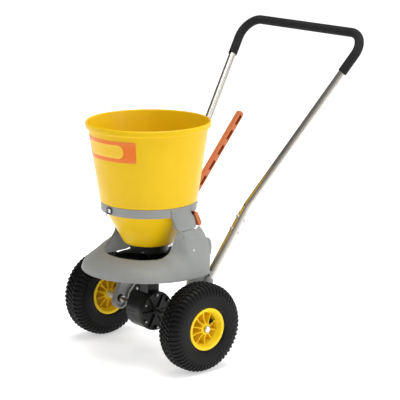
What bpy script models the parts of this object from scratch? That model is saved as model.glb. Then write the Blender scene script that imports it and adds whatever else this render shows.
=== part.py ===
"""A walk-behind broadcast spreader: a round hopper over a gear-driven spinner.

Metres, +Z up. The machine travels towards -Y and the push handle leans back
towards +Y. The ground is z = 0 and the origin is the middle of the base.
Every part hangs on the empty machine_datum, which stands under the axle, so the
positions below are measured from the axle line, with X to the machine's left.
"""

import math

import bmesh
import bpy
from mathutils import Matrix, Vector

# Overall placing
AXLE_Y = -0.2156
GAP = 0.0003

# Wheels: 260 mm pneumatic tyres on 4 inch moulded rims
WHEEL_R = 0.130
WHEEL_W = 0.085
WHEEL_X = 0.2297
AXLE_Z = WHEEL_R
AXLE_R = 0.006
AXLE_HALF = 0.2655
FLANGE_R = 0.0623
FLANGE_X = 0.0367
BEAD_R = 0.0508
HUB_R = 0.0155
HUB_X = 0.0310
RIB_COUNT = 10
VALVE_TURN = math.radians(38)
WHEEL_SEGMENTS = 28

# Hopper
HOPPER_TOP = 0.698
HOPPER_LIP_R = 0.1827
HOPPER_WALL = 0.0026
HOPPER_FLOOR = 0.3355
HOPPER_FLOOR_R = 0.0680
AGITATOR_Z = 0.3490
HOPPER_SEGMENTS = 36

# Collar that carries the hopper
COLLAR_LOW = 0.437
COLLAR_HIGH = 0.463
COLLAR_R = 0.1415
COLLAR_BORE = 0.1369

# Chassis shell
APRON_R = 0.200
APRON_LOW = 0.263
MOUTH_R = 0.131
MOUTH_Z = 0.313
SHELL_WALL = 0.0030
LUG_IN = 0.1340
LUG_OUT = 0.1470
REAR_LUG = [(0.0900, 0.3590), (0.1070, 0.3585), (0.1120, 0.3530), (0.1155, 0.3450), (0.1172, 0.3350),
            (0.1170, 0.3220), (0.1145, 0.3110), (0.1090, 0.3010), (0.0900, 0.3050)]

# Legs and cross beam
LEG_IN = 0.143
LEG_OUT = 0.164
UPRIGHT_IN = 0.128
UPRIGHT_OUT = 0.1455
SOCKET_LOW_S = -0.0640
SOCKET_HIGH_S = -0.0120
SOCKET_R = 0.0165
BEAM_Y = 0.086
BEAM_Z = 0.247
BEAM_HALF = 0.012

# Handle: a flat frame that leans back from the legs
HANDLE_TILT = math.radians(52.8)
HANDLE_FOOT_Y = 0.1077
HANDLE_FOOT_Z = 0.2489
TUBE_X = 0.153
LOWER_TUBE_R = 0.0130
LOWER_TUBE_BORE = 0.0115
BOW_R = 0.0110
BOW_BORE = 0.0096
BOW_BEND_S = 0.2365
BOW_FLARE = math.radians(11.38)
BOW_TOP_S = 0.843
BOW_CORNER = 0.060
GRIP_R = 0.0140
GRIP_START_S = 0.7076
LOWER_TUBE_TOP_S = 0.2080
BOLT_PITCH = 0.0405
BOLT_S = (0.1480, 0.1480 + BOLT_PITCH)
BOLT_R = 0.0035

# Gearbox and drive
DRUM_R = 0.058
DRUM_LOW_X = -0.041
DRUM_HIGH_X = 0.0267
COVER_HIGH_X = 0.037
SHAFT_R = 0.0045
CROWN_TEETH = 24
PINION_TEETH = 6
GEAR_MODULE = 0.0031
CROWN_PIN_X = 0.0215

# Spinner
SPINNER_R = 0.108
SPINNER_Z = 0.286
SPINNER_FINS = 6

# Metering gate and dosing lever
GATE_Z = 0.3150
GATE_THICK = 0.0020
METER_R = 0.056
METER_LOW = 0.3090
LEVER_X = -0.050
LEVER_TILT = math.radians(50.5)
PIVOT_Y = 0.1329
PIVOT_Z = 0.3450
LEVER_TOP = 0.4194
LEVER_HALF = 0.0110
LEVER_THICK = 0.0140
POCKET_COUNT = 5
POCKET_PITCH = 0.055
LEVER_FOOT = 0.045
PIVOT_R = 0.004

# Latches on the collar
LATCH_X = 0.1455
LATCH_Y = 0.0540
LATCH_Z = 0.4400
LATCH_PIN_R = 0.0020
LATCH_HALF = 0.0085
LATCH_LUG_HALF = 0.0020

# Rear stand
STAND_Y = 0.175
STAND_ROD_R = 0.006
STAND_PAD_R = 0.010
STAND_PAD_HALF = 0.024

FINISHES = {
    "yellow_hopper": ((0.83, 0.50, 0.012), 0.38, 0.0),
    "yellow_rim": ((0.80, 0.52, 0.02), 0.42, 0.0),
    "grey_moulding": ((0.36, 0.37, 0.36), 0.50, 0.0),
    "black_moulding": ((0.018, 0.019, 0.020), 0.45, 0.0),
    "orange_moulding": ((0.62, 0.13, 0.03), 0.45, 0.0),
    "label_orange": ((0.78, 0.16, 0.06), 0.40, 0.0),
    "tyre_rubber": ((0.016, 0.016, 0.016), 0.75, 0.0),
    "foam_rubber": ((0.020, 0.021, 0.022), 0.90, 0.0),
    "stainless": ((0.62, 0.60, 0.56), 0.22, 1.0),
    "zinc": ((0.60, 0.60, 0.60), 0.35, 1.0),
    "nylon": ((0.75, 0.74, 0.70), 0.50, 0.0),
}


def clear_scene():
    for item in list(bpy.data.objects):
        bpy.data.objects.remove(item, do_unlink=True)


def make_material(name, colour, roughness, metallic):
    material = bpy.data.materials.new(name)
    material.use_nodes = True
    shader = material.node_tree.nodes["Principled BSDF"]
    shader.inputs["Base Color"].default_value = (*colour, 1.0)
    shader.inputs["Roughness"].default_value = roughness
    shader.inputs["Metallic"].default_value = metallic
    return material


def build_mesh(name, points, faces):
    """A mesh whose faces all point outwards."""
    mesh = bpy.data.meshes.new(name)
    mesh.from_pydata([tuple(point) for point in points], [], faces)
    body = bmesh.new()
    body.from_mesh(mesh)
    bmesh.ops.recalc_face_normals(body, faces=body.faces)
    body.to_mesh(mesh)
    body.free()
    return mesh


def shade(mesh):
    mesh.shade_smooth()
    mesh.set_sharp_from_angle(angle=math.radians(32))


def place(name, mesh, finish, location=(0, 0, 0), rotation=(0, 0, 0)):
    """Add one part to the machine."""
    thing = bpy.data.objects.new(name, mesh)
    bpy.context.collection.objects.link(thing)
    mesh.name = name
    mesh.materials.clear()
    mesh.materials.append(bpy.data.materials[finish])
    shade(mesh)
    thing.parent = bpy.data.objects["machine_datum"]
    thing.location = location
    thing.rotation_euler = rotation
    return thing


def revolve(profile, segments, name="turned"):
    """Turn a closed (radius, height) outline about local Z."""
    points = []
    columns = []
    for step in range(segments):
        turn = 2 * math.pi * step / segments
        column = []
        for index, (radius, height) in enumerate(profile):
            if radius == 0 and step > 0:
                column.append(columns[0][index])
                continue
            column.append(len(points))
            points.append((radius * math.cos(turn), radius * math.sin(turn), height))
        columns.append(column)
    faces = []
    for step, column in enumerate(columns):
        other = columns[(step + 1) % segments]
        for index in range(len(profile)):
            after = (index + 1) % len(profile)
            face = [column[index], other[index], other[after], column[after]]
            corners = list(dict.fromkeys(face))
            if len(corners) > 2:
                faces.append(corners)
    return build_mesh(name, points, faces)


def bore(radius, segments):
    """Radius of a faceted hole in which a round part can turn."""
    return (radius + 0.00006) / math.cos(math.pi / segments)


def tube_profile(inner, outer, low, high):
    return [(inner, low), (outer, low), (outer, high), (inner, high)]


def cylinder(radius, low, high, segments=20):
    return revolve([(0, low), (radius, low), (radius, high), (0, high)], segments)


def sleeve(inner, outer, low, high, segments=20):
    return revolve(tube_profile(inner, outer, low, high), segments)


def box(low, high):
    """A block between two opposite corners."""
    points = [(x, y, z) for x in (low[0], high[0]) for y in (low[1], high[1]) for z in (low[2], high[2])]
    faces = [(0, 1, 3, 2), (4, 6, 7, 5), (0, 4, 5, 1), (2, 3, 7, 6), (0, 2, 6, 4), (1, 5, 7, 3)]
    return build_mesh("block", points, faces)


def prism(outline, low, high, across="x"):
    """Extrude a flat outline. Across x the outline is (y, z); across z it is (x, y)."""
    points = []
    for depth in (low, high):
        for first, second in outline:
            if across == "x":
                points.append((depth, first, second))
            else:
                points.append((first, second, depth))
    count = len(outline)
    faces = [tuple(range(count)), tuple(range(count, 2 * count))]
    for index in range(count):
        after = (index + 1) % count
        faces.append((index, after, after + count, index + count))
    return build_mesh("prism", points, faces)


def arc(centre, radius, start, end, steps):
    """Points on a flat arc between two angles in degrees."""
    found = []
    for step in range(steps + 1):
        angle = math.radians(start + (end - start) * step / steps)
        found.append((centre[0] + radius * math.cos(angle), centre[1] + radius * math.sin(angle)))
    return found


def rounded_path(corners, radius, steps=5):
    """A path through corners, with an arc of one radius at each inner corner."""
    path = [Vector(corners[0])]
    for index in range(1, len(corners) - 1):
        before, corner, after = (Vector(corners[index + shift]) for shift in (-1, 0, 1))
        inward = (before - corner).normalized()
        outward = (after - corner).normalized()
        half = inward.angle(outward) / 2
        tangent = radius / math.tan(half)
        centre = corner + (inward + outward).normalized() * (radius / math.sin(half))
        first = corner + inward * tangent - centre
        last = corner + outward * tangent - centre
        for step in range(steps + 1):
            part = step / steps
            turn = first.angle(last)
            weight_first = math.sin((1 - part) * turn) / math.sin(turn)
            weight_last = math.sin(part * turn) / math.sin(turn)
            path.append(centre + first * weight_first + last * weight_last)
    path.append(Vector(corners[-1]))
    return path


def sweep(path, outer, inner=0.0, segments=12):
    """A rod, or a tube when inner is set, along a path."""
    rings = []
    tangent = (path[1] - path[0]).normalized()
    side = tangent.orthogonal().normalized()
    points = []
    for index, centre in enumerate(path):
        ahead = path[min(index + 1, len(path) - 1)]
        behind = path[max(index - 1, 0)]
        heading = (ahead - behind).normalized()
        side = (side - heading * side.dot(heading)).normalized()
        other = heading.cross(side)
        ring = []
        for radius in (outer, inner):
            if radius == 0:
                continue
            for step in range(segments):
                turn = 2 * math.pi * step / segments
                ring.append(len(points))
                points.append(centre + (side * math.cos(turn) + other * math.sin(turn)) * radius)
        rings.append(ring)
    faces = []
    walls = (0, segments) if inner else (0,)
    for ring, following in zip(rings, rings[1:]):
        for base in walls:
            for step in range(segments):
                after = (step + 1) % segments
                faces.append((ring[base + step], ring[base + after],
                              following[base + after], following[base + step]))
    for ring in (rings[0], rings[-1]):
        if inner:
            for step in range(segments):
                after = (step + 1) % segments
                faces.append((ring[step], ring[after], ring[segments + after], ring[segments + step]))
        else:
            faces.append(tuple(ring))
    return build_mesh("swept", points, faces)


def moved(mesh, location=(0, 0, 0), rotation=(0, 0, 0)):
    """Shift and turn a mesh's own points."""
    turn = Matrix.Rotation(rotation[2], 4, "Z") @ Matrix.Rotation(rotation[1], 4, "Y")
    turn = turn @ Matrix.Rotation(rotation[0], 4, "X")
    mesh.transform(Matrix.Translation(location) @ turn)
    return mesh


def joined(meshes):
    """Several separate bodies in one mesh."""
    body = bmesh.new()
    for mesh in meshes:
        body.from_mesh(mesh)
    result = bpy.data.meshes.new("group")
    body.to_mesh(result)
    body.free()
    return result


def combine(mesh, other, operation):
    """Boolean two closed meshes."""
    target = bpy.data.objects.new("target", mesh)
    tool = bpy.data.objects.new("tool", other)
    for thing in (target, tool):
        bpy.context.collection.objects.link(thing)
    step = target.modifiers.new("boolean", "BOOLEAN")
    step.operation = operation
    step.object = tool
    step.solver = "EXACT"
    graph = bpy.context.evaluated_depsgraph_get()
    result = bpy.data.meshes.new_from_object(target.evaluated_get(graph))
    for thing in (target, tool):
        bpy.data.objects.remove(thing, do_unlink=True)
    body = bmesh.new()
    body.from_mesh(result)
    bmesh.ops.remove_doubles(body, verts=body.verts, dist=0.000002)
    bmesh.ops.dissolve_degenerate(body, edges=body.edges, dist=0.000002)
    body.to_mesh(result)
    body.free()
    return result


def union(mesh, *others):
    for other in others:
        mesh = combine(mesh, other, "UNION")
    return mesh


def cut(mesh, *others):
    for other in others:
        mesh = combine(mesh, other, "DIFFERENCE")
    return mesh


def across(mesh, location=(0, 0, 0)):
    """Lay a turned mesh along +X."""
    return moved(mesh, location, (0, math.pi / 2, 0))


def mirrored(mesh):
    """The same mesh on the machine's other side."""
    other = mesh.copy()
    other.transform(Matrix.Scale(-1, 4, (1, 0, 0)))
    other.flip_normals()
    return other


def pair(name, mesh, finish):
    """A left part at +X and its mirror image at -X."""
    place("right_" + name, mirrored(mesh), finish)
    place("left_" + name, mesh, finish)


# Wheels -----------------------------------------------------------------------

def rim_mesh():
    """One-piece rim: bead seats, a drop centre, a web, a hub and ribs both sides."""
    half = [
        (HUB_R, 0.0020), (HUB_R, HUB_X), (AXLE_R + 0.0008, HUB_X),
    ]
    outer = [
        (0.0440, 0.0020), (0.0460, 0.0200), (0.0545, FLANGE_X),
        (FLANGE_R, FLANGE_X), (FLANGE_R, FLANGE_X - 0.0035), (BEAD_R, 0.0305), (BEAD_R, 0.0160),
    ]
    profile = [(radius, height) for radius, height in half[::-1]]
    profile += outer
    profile += [(radius, -height) for radius, height in outer[::-1]]
    profile += [(radius, -height) for radius, height in half]
    rim = revolve(profile, WHEEL_SEGMENTS)
    ribs = []
    for index in range(RIB_COUNT):
        rib = prism([(0.0130, -0.0300), (0.0462, -0.0190), (0.0462, 0.0190), (0.0130, 0.0300)], -0.0011, 0.0011)
        turn = 2 * math.pi * (index + 0.5) / RIB_COUNT
        ribs.append(moved(rib, rotation=(0, 0, turn)))
    rim = union(rim, joined(ribs))
    valve_slot = box((-0.0060, 0.0235, -0.0060), (0.0060, 0.0540, 0.0060))
    rim = cut(rim, valve_slot)
    return moved(rim, rotation=(0, 0, VALVE_TURN))


def tyre_mesh():
    """Open tyre casing: two beads, bulging walls and a rounded crown."""
    outside = [(0.0512, 0.0300), (0.0610, 0.0312), (0.0700, 0.0385), (0.0950, WHEEL_W / 2),
               (0.1160, 0.0380), (0.1270, 0.0240), (WHEEL_R, 0.0080)]
    inside = [(0.1235, 0.0150), (0.1130, 0.0340), (0.0930, 0.0382), (0.0600, 0.0255), (0.0512, 0.0195)]
    profile = outside + [(radius, -height) for radius, height in outside[::-1]]
    profile += [(radius, -height) for radius, height in inside[::-1]]
    profile += inside
    return revolve(profile, WHEEL_SEGMENTS)


def inner_tube_mesh():
    """Butyl tube with a bent valve stem; the valve's bore opens the hollow."""
    def ring(scale):
        centre, half_r, half_x = 0.0900, 0.0290 * scale, 0.0270 * scale
        turns = [2 * math.pi * step / 6 for step in range(6)]
        return [(centre + half_r * math.cos(turn), half_x * math.sin(turn)) for turn in turns]

    tube = revolve(ring(1.0), 16)
    stem = rounded_path([(0, 0.066, 0), (0, 0.0290, 0), (0, 0.0290, 0.0300)], 0.006, 2)
    tube = union(tube, sweep(stem, 0.0038, 0.0, 8))
    hollow = revolve(ring(0.93), 16)
    passage = sweep(rounded_path([(0, 0.064, 0), (0, 0.0290, 0), (0, 0.0290, 0.0330)], 0.006, 2), 0.0012, 0.0, 5)
    tube = cut(tube, union(hollow, passage))
    return moved(tube, rotation=(0, 0, VALVE_TURN))


def add_wheel(side, sign):
    """Rim, tyre and tube on one end of the axle, valve side outwards."""
    centre = (sign * WHEEL_X, 0, AXLE_Z)
    facing = (0, sign * math.pi / 2, 0)
    place(side + "_rim", rim_mesh(), "yellow_rim", centre, facing)
    place(side + "_tyre", tyre_mesh(), "tyre_rubber", centre, facing)
    place(side + "_inner_tube", inner_tube_mesh(), "black_moulding", centre, facing)


def add_axle():
    """The live axle, its spacers, its pins and the caps on its ends."""
    line = (0, 0, AXLE_Z)
    along = (0, math.pi / 2, 0)
    axle = cylinder(AXLE_R, -AXLE_HALF, AXLE_HALF, 20)
    cross_pins = []
    for position in (CROWN_PIN_X, WHEEL_X - 0.0405):
        cross_pins.append(moved(cylinder(0.0022, -0.02, 0.02, 10), (0, 0, position), (0, math.pi / 2, 0)))
    place("axle", cut(axle, *cross_pins), "stainless", line, along)
    for side, sign in (("left", 1), ("right", -1)):
        low, high = sorted((sign * (LEG_OUT + GAP + 0.0005), sign * (WHEEL_X - HUB_X - 0.0006)))
        tube = sleeve(bore(AXLE_R, 14), 0.0095, low, high, 14)
        if side == "left":
            tube = cut(tube, moved(cylinder(0.0022, -0.02, 0.02, 10), (0, 0, WHEEL_X - 0.0405),
                                   (0, math.pi / 2, 0)))
        place(side + "_spacer", tube, "nylon", line, along)
        dome = [(0, 0.0005), (0.0062, 0.0005), (0.0062, -0.004), (0.0085, -0.004), (0.0100, 0.0006),
                (0.0092, 0.0030), (0.0060, 0.0044), (0, 0.0050)]
        place(side + "_hub_cap", revolve(dome, 14), "zinc",
              (sign * (AXLE_HALF + 0.0005), 0, AXLE_Z), (0, sign * math.pi / 2, 0))
        bush = [(bore(AXLE_R, 16), LEG_IN - 0.0020), (0.0125, LEG_IN - 0.0020), (0.0125, LEG_IN - GAP),
                (0.0093, LEG_IN - GAP), (0.0093, LEG_OUT + GAP), (bore(AXLE_R, 16), LEG_OUT + GAP)]
        place(side + "_axle_bush", revolve(bush, 16), "nylon", line, (0, sign * math.pi / 2, 0))
    wheel_pin = cylinder(0.0019, -0.0090, 0.0090, 10)
    place("wheel_drive_pin", wheel_pin, "zinc", (WHEEL_X - 0.0405, 0, AXLE_Z))
    clip = sleeve(bore(AXLE_R, 14), 0.0088, -0.0035, 0.0035, 14)
    place("axle_set_collar", clip, "zinc", (-0.1340, 0, AXLE_Z), along)


# Gearbox ----------------------------------------------------------------------

def add_gearbox():
    """Drum on the axle with a block and a neck that carry the upright shaft."""
    drum = across(cylinder(DRUM_R, DRUM_LOW_X, DRUM_HIGH_X, 30), (0, 0, AXLE_Z))
    block = box((-0.0190, -0.0210, 0.165), (0.0190, 0.0210, 0.2160))
    neck = cylinder(0.0140, 0.210, 0.2520, 16)
    flange = cylinder(0.0235, 0.2480, 0.2520, 20)
    ear = moved(cylinder(0.0085, -0.010, 0.010, 14), (-0.0290, -0.012, 0.1900), (math.pi / 2, 0, 0))
    web = box((-0.0290, -0.0200, 0.1740), (-0.0180, -0.0060, 0.1940))
    housing = union(drum, block, neck, flange, ear, web)
    hollow = across(cylinder(DRUM_R - 0.0035, DRUM_LOW_X + 0.0035, DRUM_HIGH_X + 0.01, 30), (0, 0, AXLE_Z))
    lower_seat = cylinder(0.0085, 0.1750, 0.1960, 14)
    shaft_way = cylinder(0.0060, 0.1900, 0.2450, 12)
    upper_seat = cylinder(0.0085, 0.2380, 0.2600, 14)
    axle_way = across(cylinder(bore(AXLE_R, 16), -0.06, 0.0, 16), (0, 0, AXLE_Z))
    ear_bore = moved(cylinder(0.0030, -0.030, 0.012, 10), (-0.0290, -0.012, 0.1900), (math.pi / 2, 0, 0))
    screw_ways = [across(cylinder(0.0017, 0.0100, 0.0300, 6), spot) for spot in cover_screw_places(0)]
    housing = cut(housing, hollow, lower_seat, shaft_way, upper_seat, axle_way, ear_bore)
    bosses = [across(cylinder(0.0056, 0.0100, DRUM_HIGH_X, 8), spot) for spot in cover_screw_places(0)]
    housing = union(housing, joined(bosses))
    housing = cut(housing, joined(screw_ways))
    place("gearbox_housing", housing, "black_moulding")

    low = DRUM_HIGH_X + GAP
    disc = [(bore(AXLE_R, 28), low), (DRUM_R + 0.001, low), (DRUM_R + 0.001, low + 0.0035),
            (DRUM_R - 0.001, low + 0.0045), (DRUM_R - 0.001, COVER_HIGH_X),
            (DRUM_R - 0.0045, COVER_HIGH_X), (DRUM_R - 0.0045, low + 0.0035),
            (0.0125, low + 0.0035), (0.0125, COVER_HIGH_X), (bore(AXLE_R, 28), COVER_HIGH_X)]
    cover = across(revolve(disc, 28), (0, 0, AXLE_Z))
    spokes = []
    for index in range(6):
        spoke = box((low + 0.0020, 0.0110, -0.0012), (COVER_HIGH_X - 0.0015, DRUM_R - 0.0030, 0.0012))
        spokes.append(moved(spoke, (0, 0, AXLE_Z), (math.radians(60 * index), 0, 0)))
    bosses = [across(cylinder(0.0055, low + 0.0020, COVER_HIGH_X - 0.001, 8), spot)
              for spot in cover_screw_places(0)]
    cover = union(cover, joined(spokes))
    cover = union(cover, joined(bosses))
    ways = [across(cylinder(0.0021, 0.02, 0.05, 6), spot) for spot in cover_screw_places(0)]
    place("gearbox_cover", cut(cover, joined(ways)), "black_moulding")
    for index, spot in enumerate(cover_screw_places(COVER_HIGH_X - 0.001 + GAP)):
        screw = [(0, -0.0160), (0.0013, -0.0160), (0.0013, 0), (0.0034, 0), (0.0034, 0.0016), (0.0020, 0.0026),
                 (0, 0.0026)]
        place(f"cover_screw_{index + 1}", across(revolve(screw, 8)), "zinc", spot)


def cover_screw_places(depth):
    """The six screws of the cover, at a given place along the axle."""
    found = []
    for index in range(6):
        turn = math.radians(30 + 60 * index)
        radius = DRUM_R - 0.0085
        found.append((depth, radius * math.cos(turn), AXLE_Z + radius * math.sin(turn)))
    return found


def gear_mesh(teeth, ring_points, half_root, half_tip):
    """A toothed ring; ring_points gives one column's points for an angle and a height 0..1."""
    points = []
    columns = []
    for tooth in range(teeth):
        for share, height in ((0.5 - half_root, 0), (0.5 - half_tip, 1), (0.5 + half_tip, 1),
                              (0.5 + half_root, 0)):
            column = []
            for point in ring_points(2 * math.pi * (tooth + share) / teeth, height):
                column.append(len(points))
                points.append(point)
            columns.append(column)
    faces = []
    for step, column in enumerate(columns):
        other = columns[(step + 1) % len(columns)]
        for index in range(len(column)):
            after = (index + 1) % len(column)
            faces.append((column[index], other[index], other[after], column[after]))
    return build_mesh("gear", points, faces)


def crown_column(turn, height):
    """The crown gear's section: teeth on its -X face, a hub behind."""
    pitch_r = GEAR_MODULE * CROWN_TEETH / 2
    face = GEAR_MODULE * PINION_TEETH / 2
    tip = face - 0.85 * GEAR_MODULE
    root = face + 1.15 * GEAR_MODULE
    back = root + 0.0045
    top = tip if height else root - GAP
    inner = AXLE_R + 0.0002
    profile = [(0.0256, inner), (0.0256, 0.0112), (back, 0.0112), (back, pitch_r + 0.0045), (top, pitch_r + 0.0042),
               (top, pitch_r - 0.0042), (root, pitch_r - 0.0045), (root, inner)]
    return [(depth, radius * math.cos(turn + math.pi / 2), AXLE_Z + radius * math.sin(turn + math.pi / 2))
            for depth, radius in profile]


def pinion_column(turn, height):
    """The pinion's section about the upright shaft; a tooth points to +X."""
    pitch_r = GEAR_MODULE * PINION_TEETH / 2
    radius = pitch_r + (0.85 if height else -1.15) * GEAR_MODULE
    middle = AXLE_Z + GEAR_MODULE * CROWN_TEETH / 2
    turn -= math.pi / PINION_TEETH
    profile = [(SHAFT_R + 0.0004, middle - 0.0040), (radius, middle - 0.0040), (radius, middle + 0.0040),
               (SHAFT_R + 0.0004, middle + 0.0040)]
    return [(reach * math.cos(turn), reach * math.sin(turn), depth) for reach, depth in profile]


def add_drive():
    """Crown gear, pinion and the upright shaft in its two bushes."""
    crown = gear_mesh(CROWN_TEETH, crown_column, 0.22, 0.10)
    pin_way = moved(cylinder(0.0022, -0.02, 0.02, 10), (CROWN_PIN_X, 0, AXLE_Z))
    place("crown_gear", cut(crown, pin_way), "nylon")
    place("crown_gear_pin", cylinder(0.0019, -0.0105, 0.0105, 10), "zinc", (CROWN_PIN_X, 0, AXLE_Z))
    place("pinion", gear_mesh(PINION_TEETH, pinion_column, 0.24, 0.10), "zinc")
    shaft = cylinder(SHAFT_R, 0.1450, AGITATOR_Z + 0.0120, 16)
    pin_way = moved(cylinder(0.0018, -0.02, 0.02, 10), (0, 0, SPINNER_Z + 0.0110), (math.pi / 2, 0, 0))
    place("spinner_shaft", cut(shaft, pin_way), "stainless")
    for name, low, high in (("lower_shaft_bush", 0.1770, 0.1957), ("upper_shaft_bush", 0.2453, 0.2560)):
        place(name, sleeve(bore(SHAFT_R, 14), 0.0082, low, high, 14), "nylon")


def add_spinner():
    """Spinner disc with its fins, held on the shaft by a cross pin."""
    dish = [(SHAFT_R + 0.0002, SPINNER_Z - 0.006), (0.0130, SPINNER_Z - 0.006), (0.0130, SPINNER_Z),
            (SPINNER_R - 0.004, SPINNER_Z), (SPINNER_R, SPINNER_Z + 0.002), (SPINNER_R - 0.0006, SPINNER_Z + 0.0042),
            (SPINNER_R - 0.005, SPINNER_Z + 0.0030), (0.0130, SPINNER_Z + 0.0030), (0.0115, SPINNER_Z + 0.0170),
            (SHAFT_R + 0.0002, SPINNER_Z + 0.0170)]
    disc = revolve(dish, 30)
    fins = []
    for index in range(SPINNER_FINS):
        outline = [(0.0105, 0.0010), (SPINNER_R - 0.006, 0.0010), (SPINNER_R - 0.006, 0.0110), (0.0600, 0.0150),
                   (0.0105, 0.0150)]
        fin = prism([(reach, SPINNER_Z + rise) for reach, rise in outline], -0.0010, 0.0010)
        fins.append(moved(fin, rotation=(0, 0, 2 * math.pi * (index + 0.25) / SPINNER_FINS)))
    disc = union(disc, joined(fins))
    pin_way = moved(cylinder(0.0018, -0.02, 0.02, 10), (0, 0, SPINNER_Z + 0.0110), (math.pi / 2, 0, 0))
    place("spinner_disc", cut(disc, pin_way), "black_moulding")
    pin = moved(cylinder(0.0015, -0.0120, 0.0120, 10), (0, 0, SPINNER_Z + 0.0110), (math.pi / 2, 0, 0))
    place("spinner_pin", pin, "zinc")
    hub = sleeve(bore(SHAFT_R, 14), 0.0085, AGITATOR_Z - 0.0070, AGITATOR_Z + 0.0080, 14)
    arms = []
    for sign in (1, -1):
        path = rounded_path([(sign * 0.006, 0, AGITATOR_Z), (sign * 0.0440, 0, AGITATOR_Z),
                             (sign * 0.0560, 0, AGITATOR_Z + 0.0160)],
                            0.008, 3)
        arms.append(sweep(path, 0.0022, 0.0, 8))
    place("agitator", union(hub, *arms), "stainless")


# Hopper -----------------------------------------------------------------------

def hopper_outline():
    """Outer (radius, height) points from the floor up to the lip."""
    return [(HOPPER_FLOOR_R, HOPPER_FLOOR), (0.0712, HOPPER_FLOOR + 0.0015), (0.0768, 0.3430), (0.1116, 0.4065),
            (0.1262, 0.4340), (0.1330, 0.4430), (0.1360, 0.4500), (0.1364, COLLAR_HIGH + GAP),
            (0.1420, COLLAR_HIGH + GAP), (0.1726, 0.6665), (0.1740, 0.6790), (HOPPER_LIP_R, 0.6815)]


def add_hopper():
    """Thin tub with a cone, a shoulder that sits on the collar and a rolled lip."""
    outside = hopper_outline() + [(HOPPER_LIP_R, HOPPER_TOP - 0.002), (HOPPER_LIP_R - 0.002, HOPPER_TOP)]
    inside = [(0.1790, HOPPER_TOP), (0.1765, 0.6930)]
    lean = math.cos(math.atan(0.15))
    inside += [(0.1726 - HOPPER_WALL / lean, 0.6665), (0.1431 - HOPPER_WALL / lean, 0.4650),
               (0.1338, 0.4630), (0.1334, 0.4505), (0.1304, 0.4445), (0.1238, 0.4352),
               (0.1116 - 0.0030, 0.4065), (0.0768 - 0.0030, 0.3440), (0.0690, HOPPER_FLOOR + 0.0032)]
    profile = [(0.0, HOPPER_FLOOR)] + outside + inside + [(0.0, HOPPER_FLOOR + 0.0032)]
    tub = revolve(profile, HOPPER_SEGMENTS)
    port = box((-0.022, -0.0450, 0.30), (0.022, -0.0290, 0.35))
    tub = cut(tub, port, cylinder(0.0100, 0.30, 0.35))
    place("hopper", tub, "yellow_hopper")


def add_label():
    """A plain patch on the tub's front right, without any mark."""
    low_z, high_z, start, end, steps = 0.6020, 0.6640, -40.0, 40.0, 8
    points = []
    columns = []
    for step in range(steps + 1):
        turn = math.radians(start + (end - start) * step / steps)
        column = []
        for height, lift in ((low_z, GAP), (high_z, GAP), (high_z, 0.0007), (low_z, 0.0007)):
            radius = 0.1420 + (0.1726 - 0.1420) * (height - COLLAR_HIGH) / (0.6665 - COLLAR_HIGH) + lift
            column.append(len(points))
            points.append((-radius * math.sin(turn), -radius * math.cos(turn), height))
        columns.append(column)
    faces = [tuple(columns[0]), tuple(columns[-1])]
    for column, other in zip(columns, columns[1:]):
        for index in range(4):
            after = (index + 1) % 4
            faces.append((column[index], other[index], other[after], column[after]))
    place("hopper_label", build_mesh("label", points, faces), "label_orange")


def add_metering():
    """Outlet body under the tub with a slot for the sliding gate."""
    top = HOPPER_FLOOR - GAP
    body = revolve([(0, METER_LOW), (METER_R - 0.002, METER_LOW), (METER_R, METER_LOW + 0.002), (METER_R, top),
                    (0, top)], 22)
    slot = box((-0.0345, -0.08, GATE_Z - GAP), (0.0345, 0.08, GATE_Z + GATE_THICK + GAP))
    port = box((-0.022, -0.0450, 0.30), (0.022, -0.0290, 0.35))
    place("metering_base", cut(body, slot, port, cylinder(0.0100, 0.30, 0.35)), "black_moulding")

    outline = [(-0.0340, -0.0480), (0.0340, -0.0480), (0.0340, 0.0400), (-0.0080, 0.0900), (-0.0300, 0.1230),
               (-0.0375, 0.1230), (-0.0375, 0.0800), (-0.0340, 0.0620)]
    gate = prism(outline, GATE_Z, GATE_Z + GATE_THICK, "z")
    tab = box((-0.0375, 0.0930, 0.2950), (-0.0350, 0.1230, GATE_Z + 0.0010))
    gate = union(gate, tab)
    shaft_way = prism(arc((0, 0.0075), 0.0085, 0, 180, 8) + arc((0, -0.0225), 0.0085, 180, 360, 8),
                      0.30, 0.33, "z")
    pin_way = prism([(0.1002, 0.2990), (0.1086, 0.2990), (0.1086, 0.3135), (0.1002, 0.3135)], -0.06, -0.03)
    place("gate_plate", cut(gate, shaft_way, pin_way), "stainless")


# Chassis ----------------------------------------------------------------------

def bezier(p0, p1, p2, p3, share):
    """A point on a cubic curve."""
    rest = 1 - share
    return (Vector(p0) * rest ** 3 + Vector(p1) * (3 * share * rest ** 2)
            + Vector(p2) * (3 * share ** 2 * rest) + Vector(p3) * share ** 3)


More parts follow.
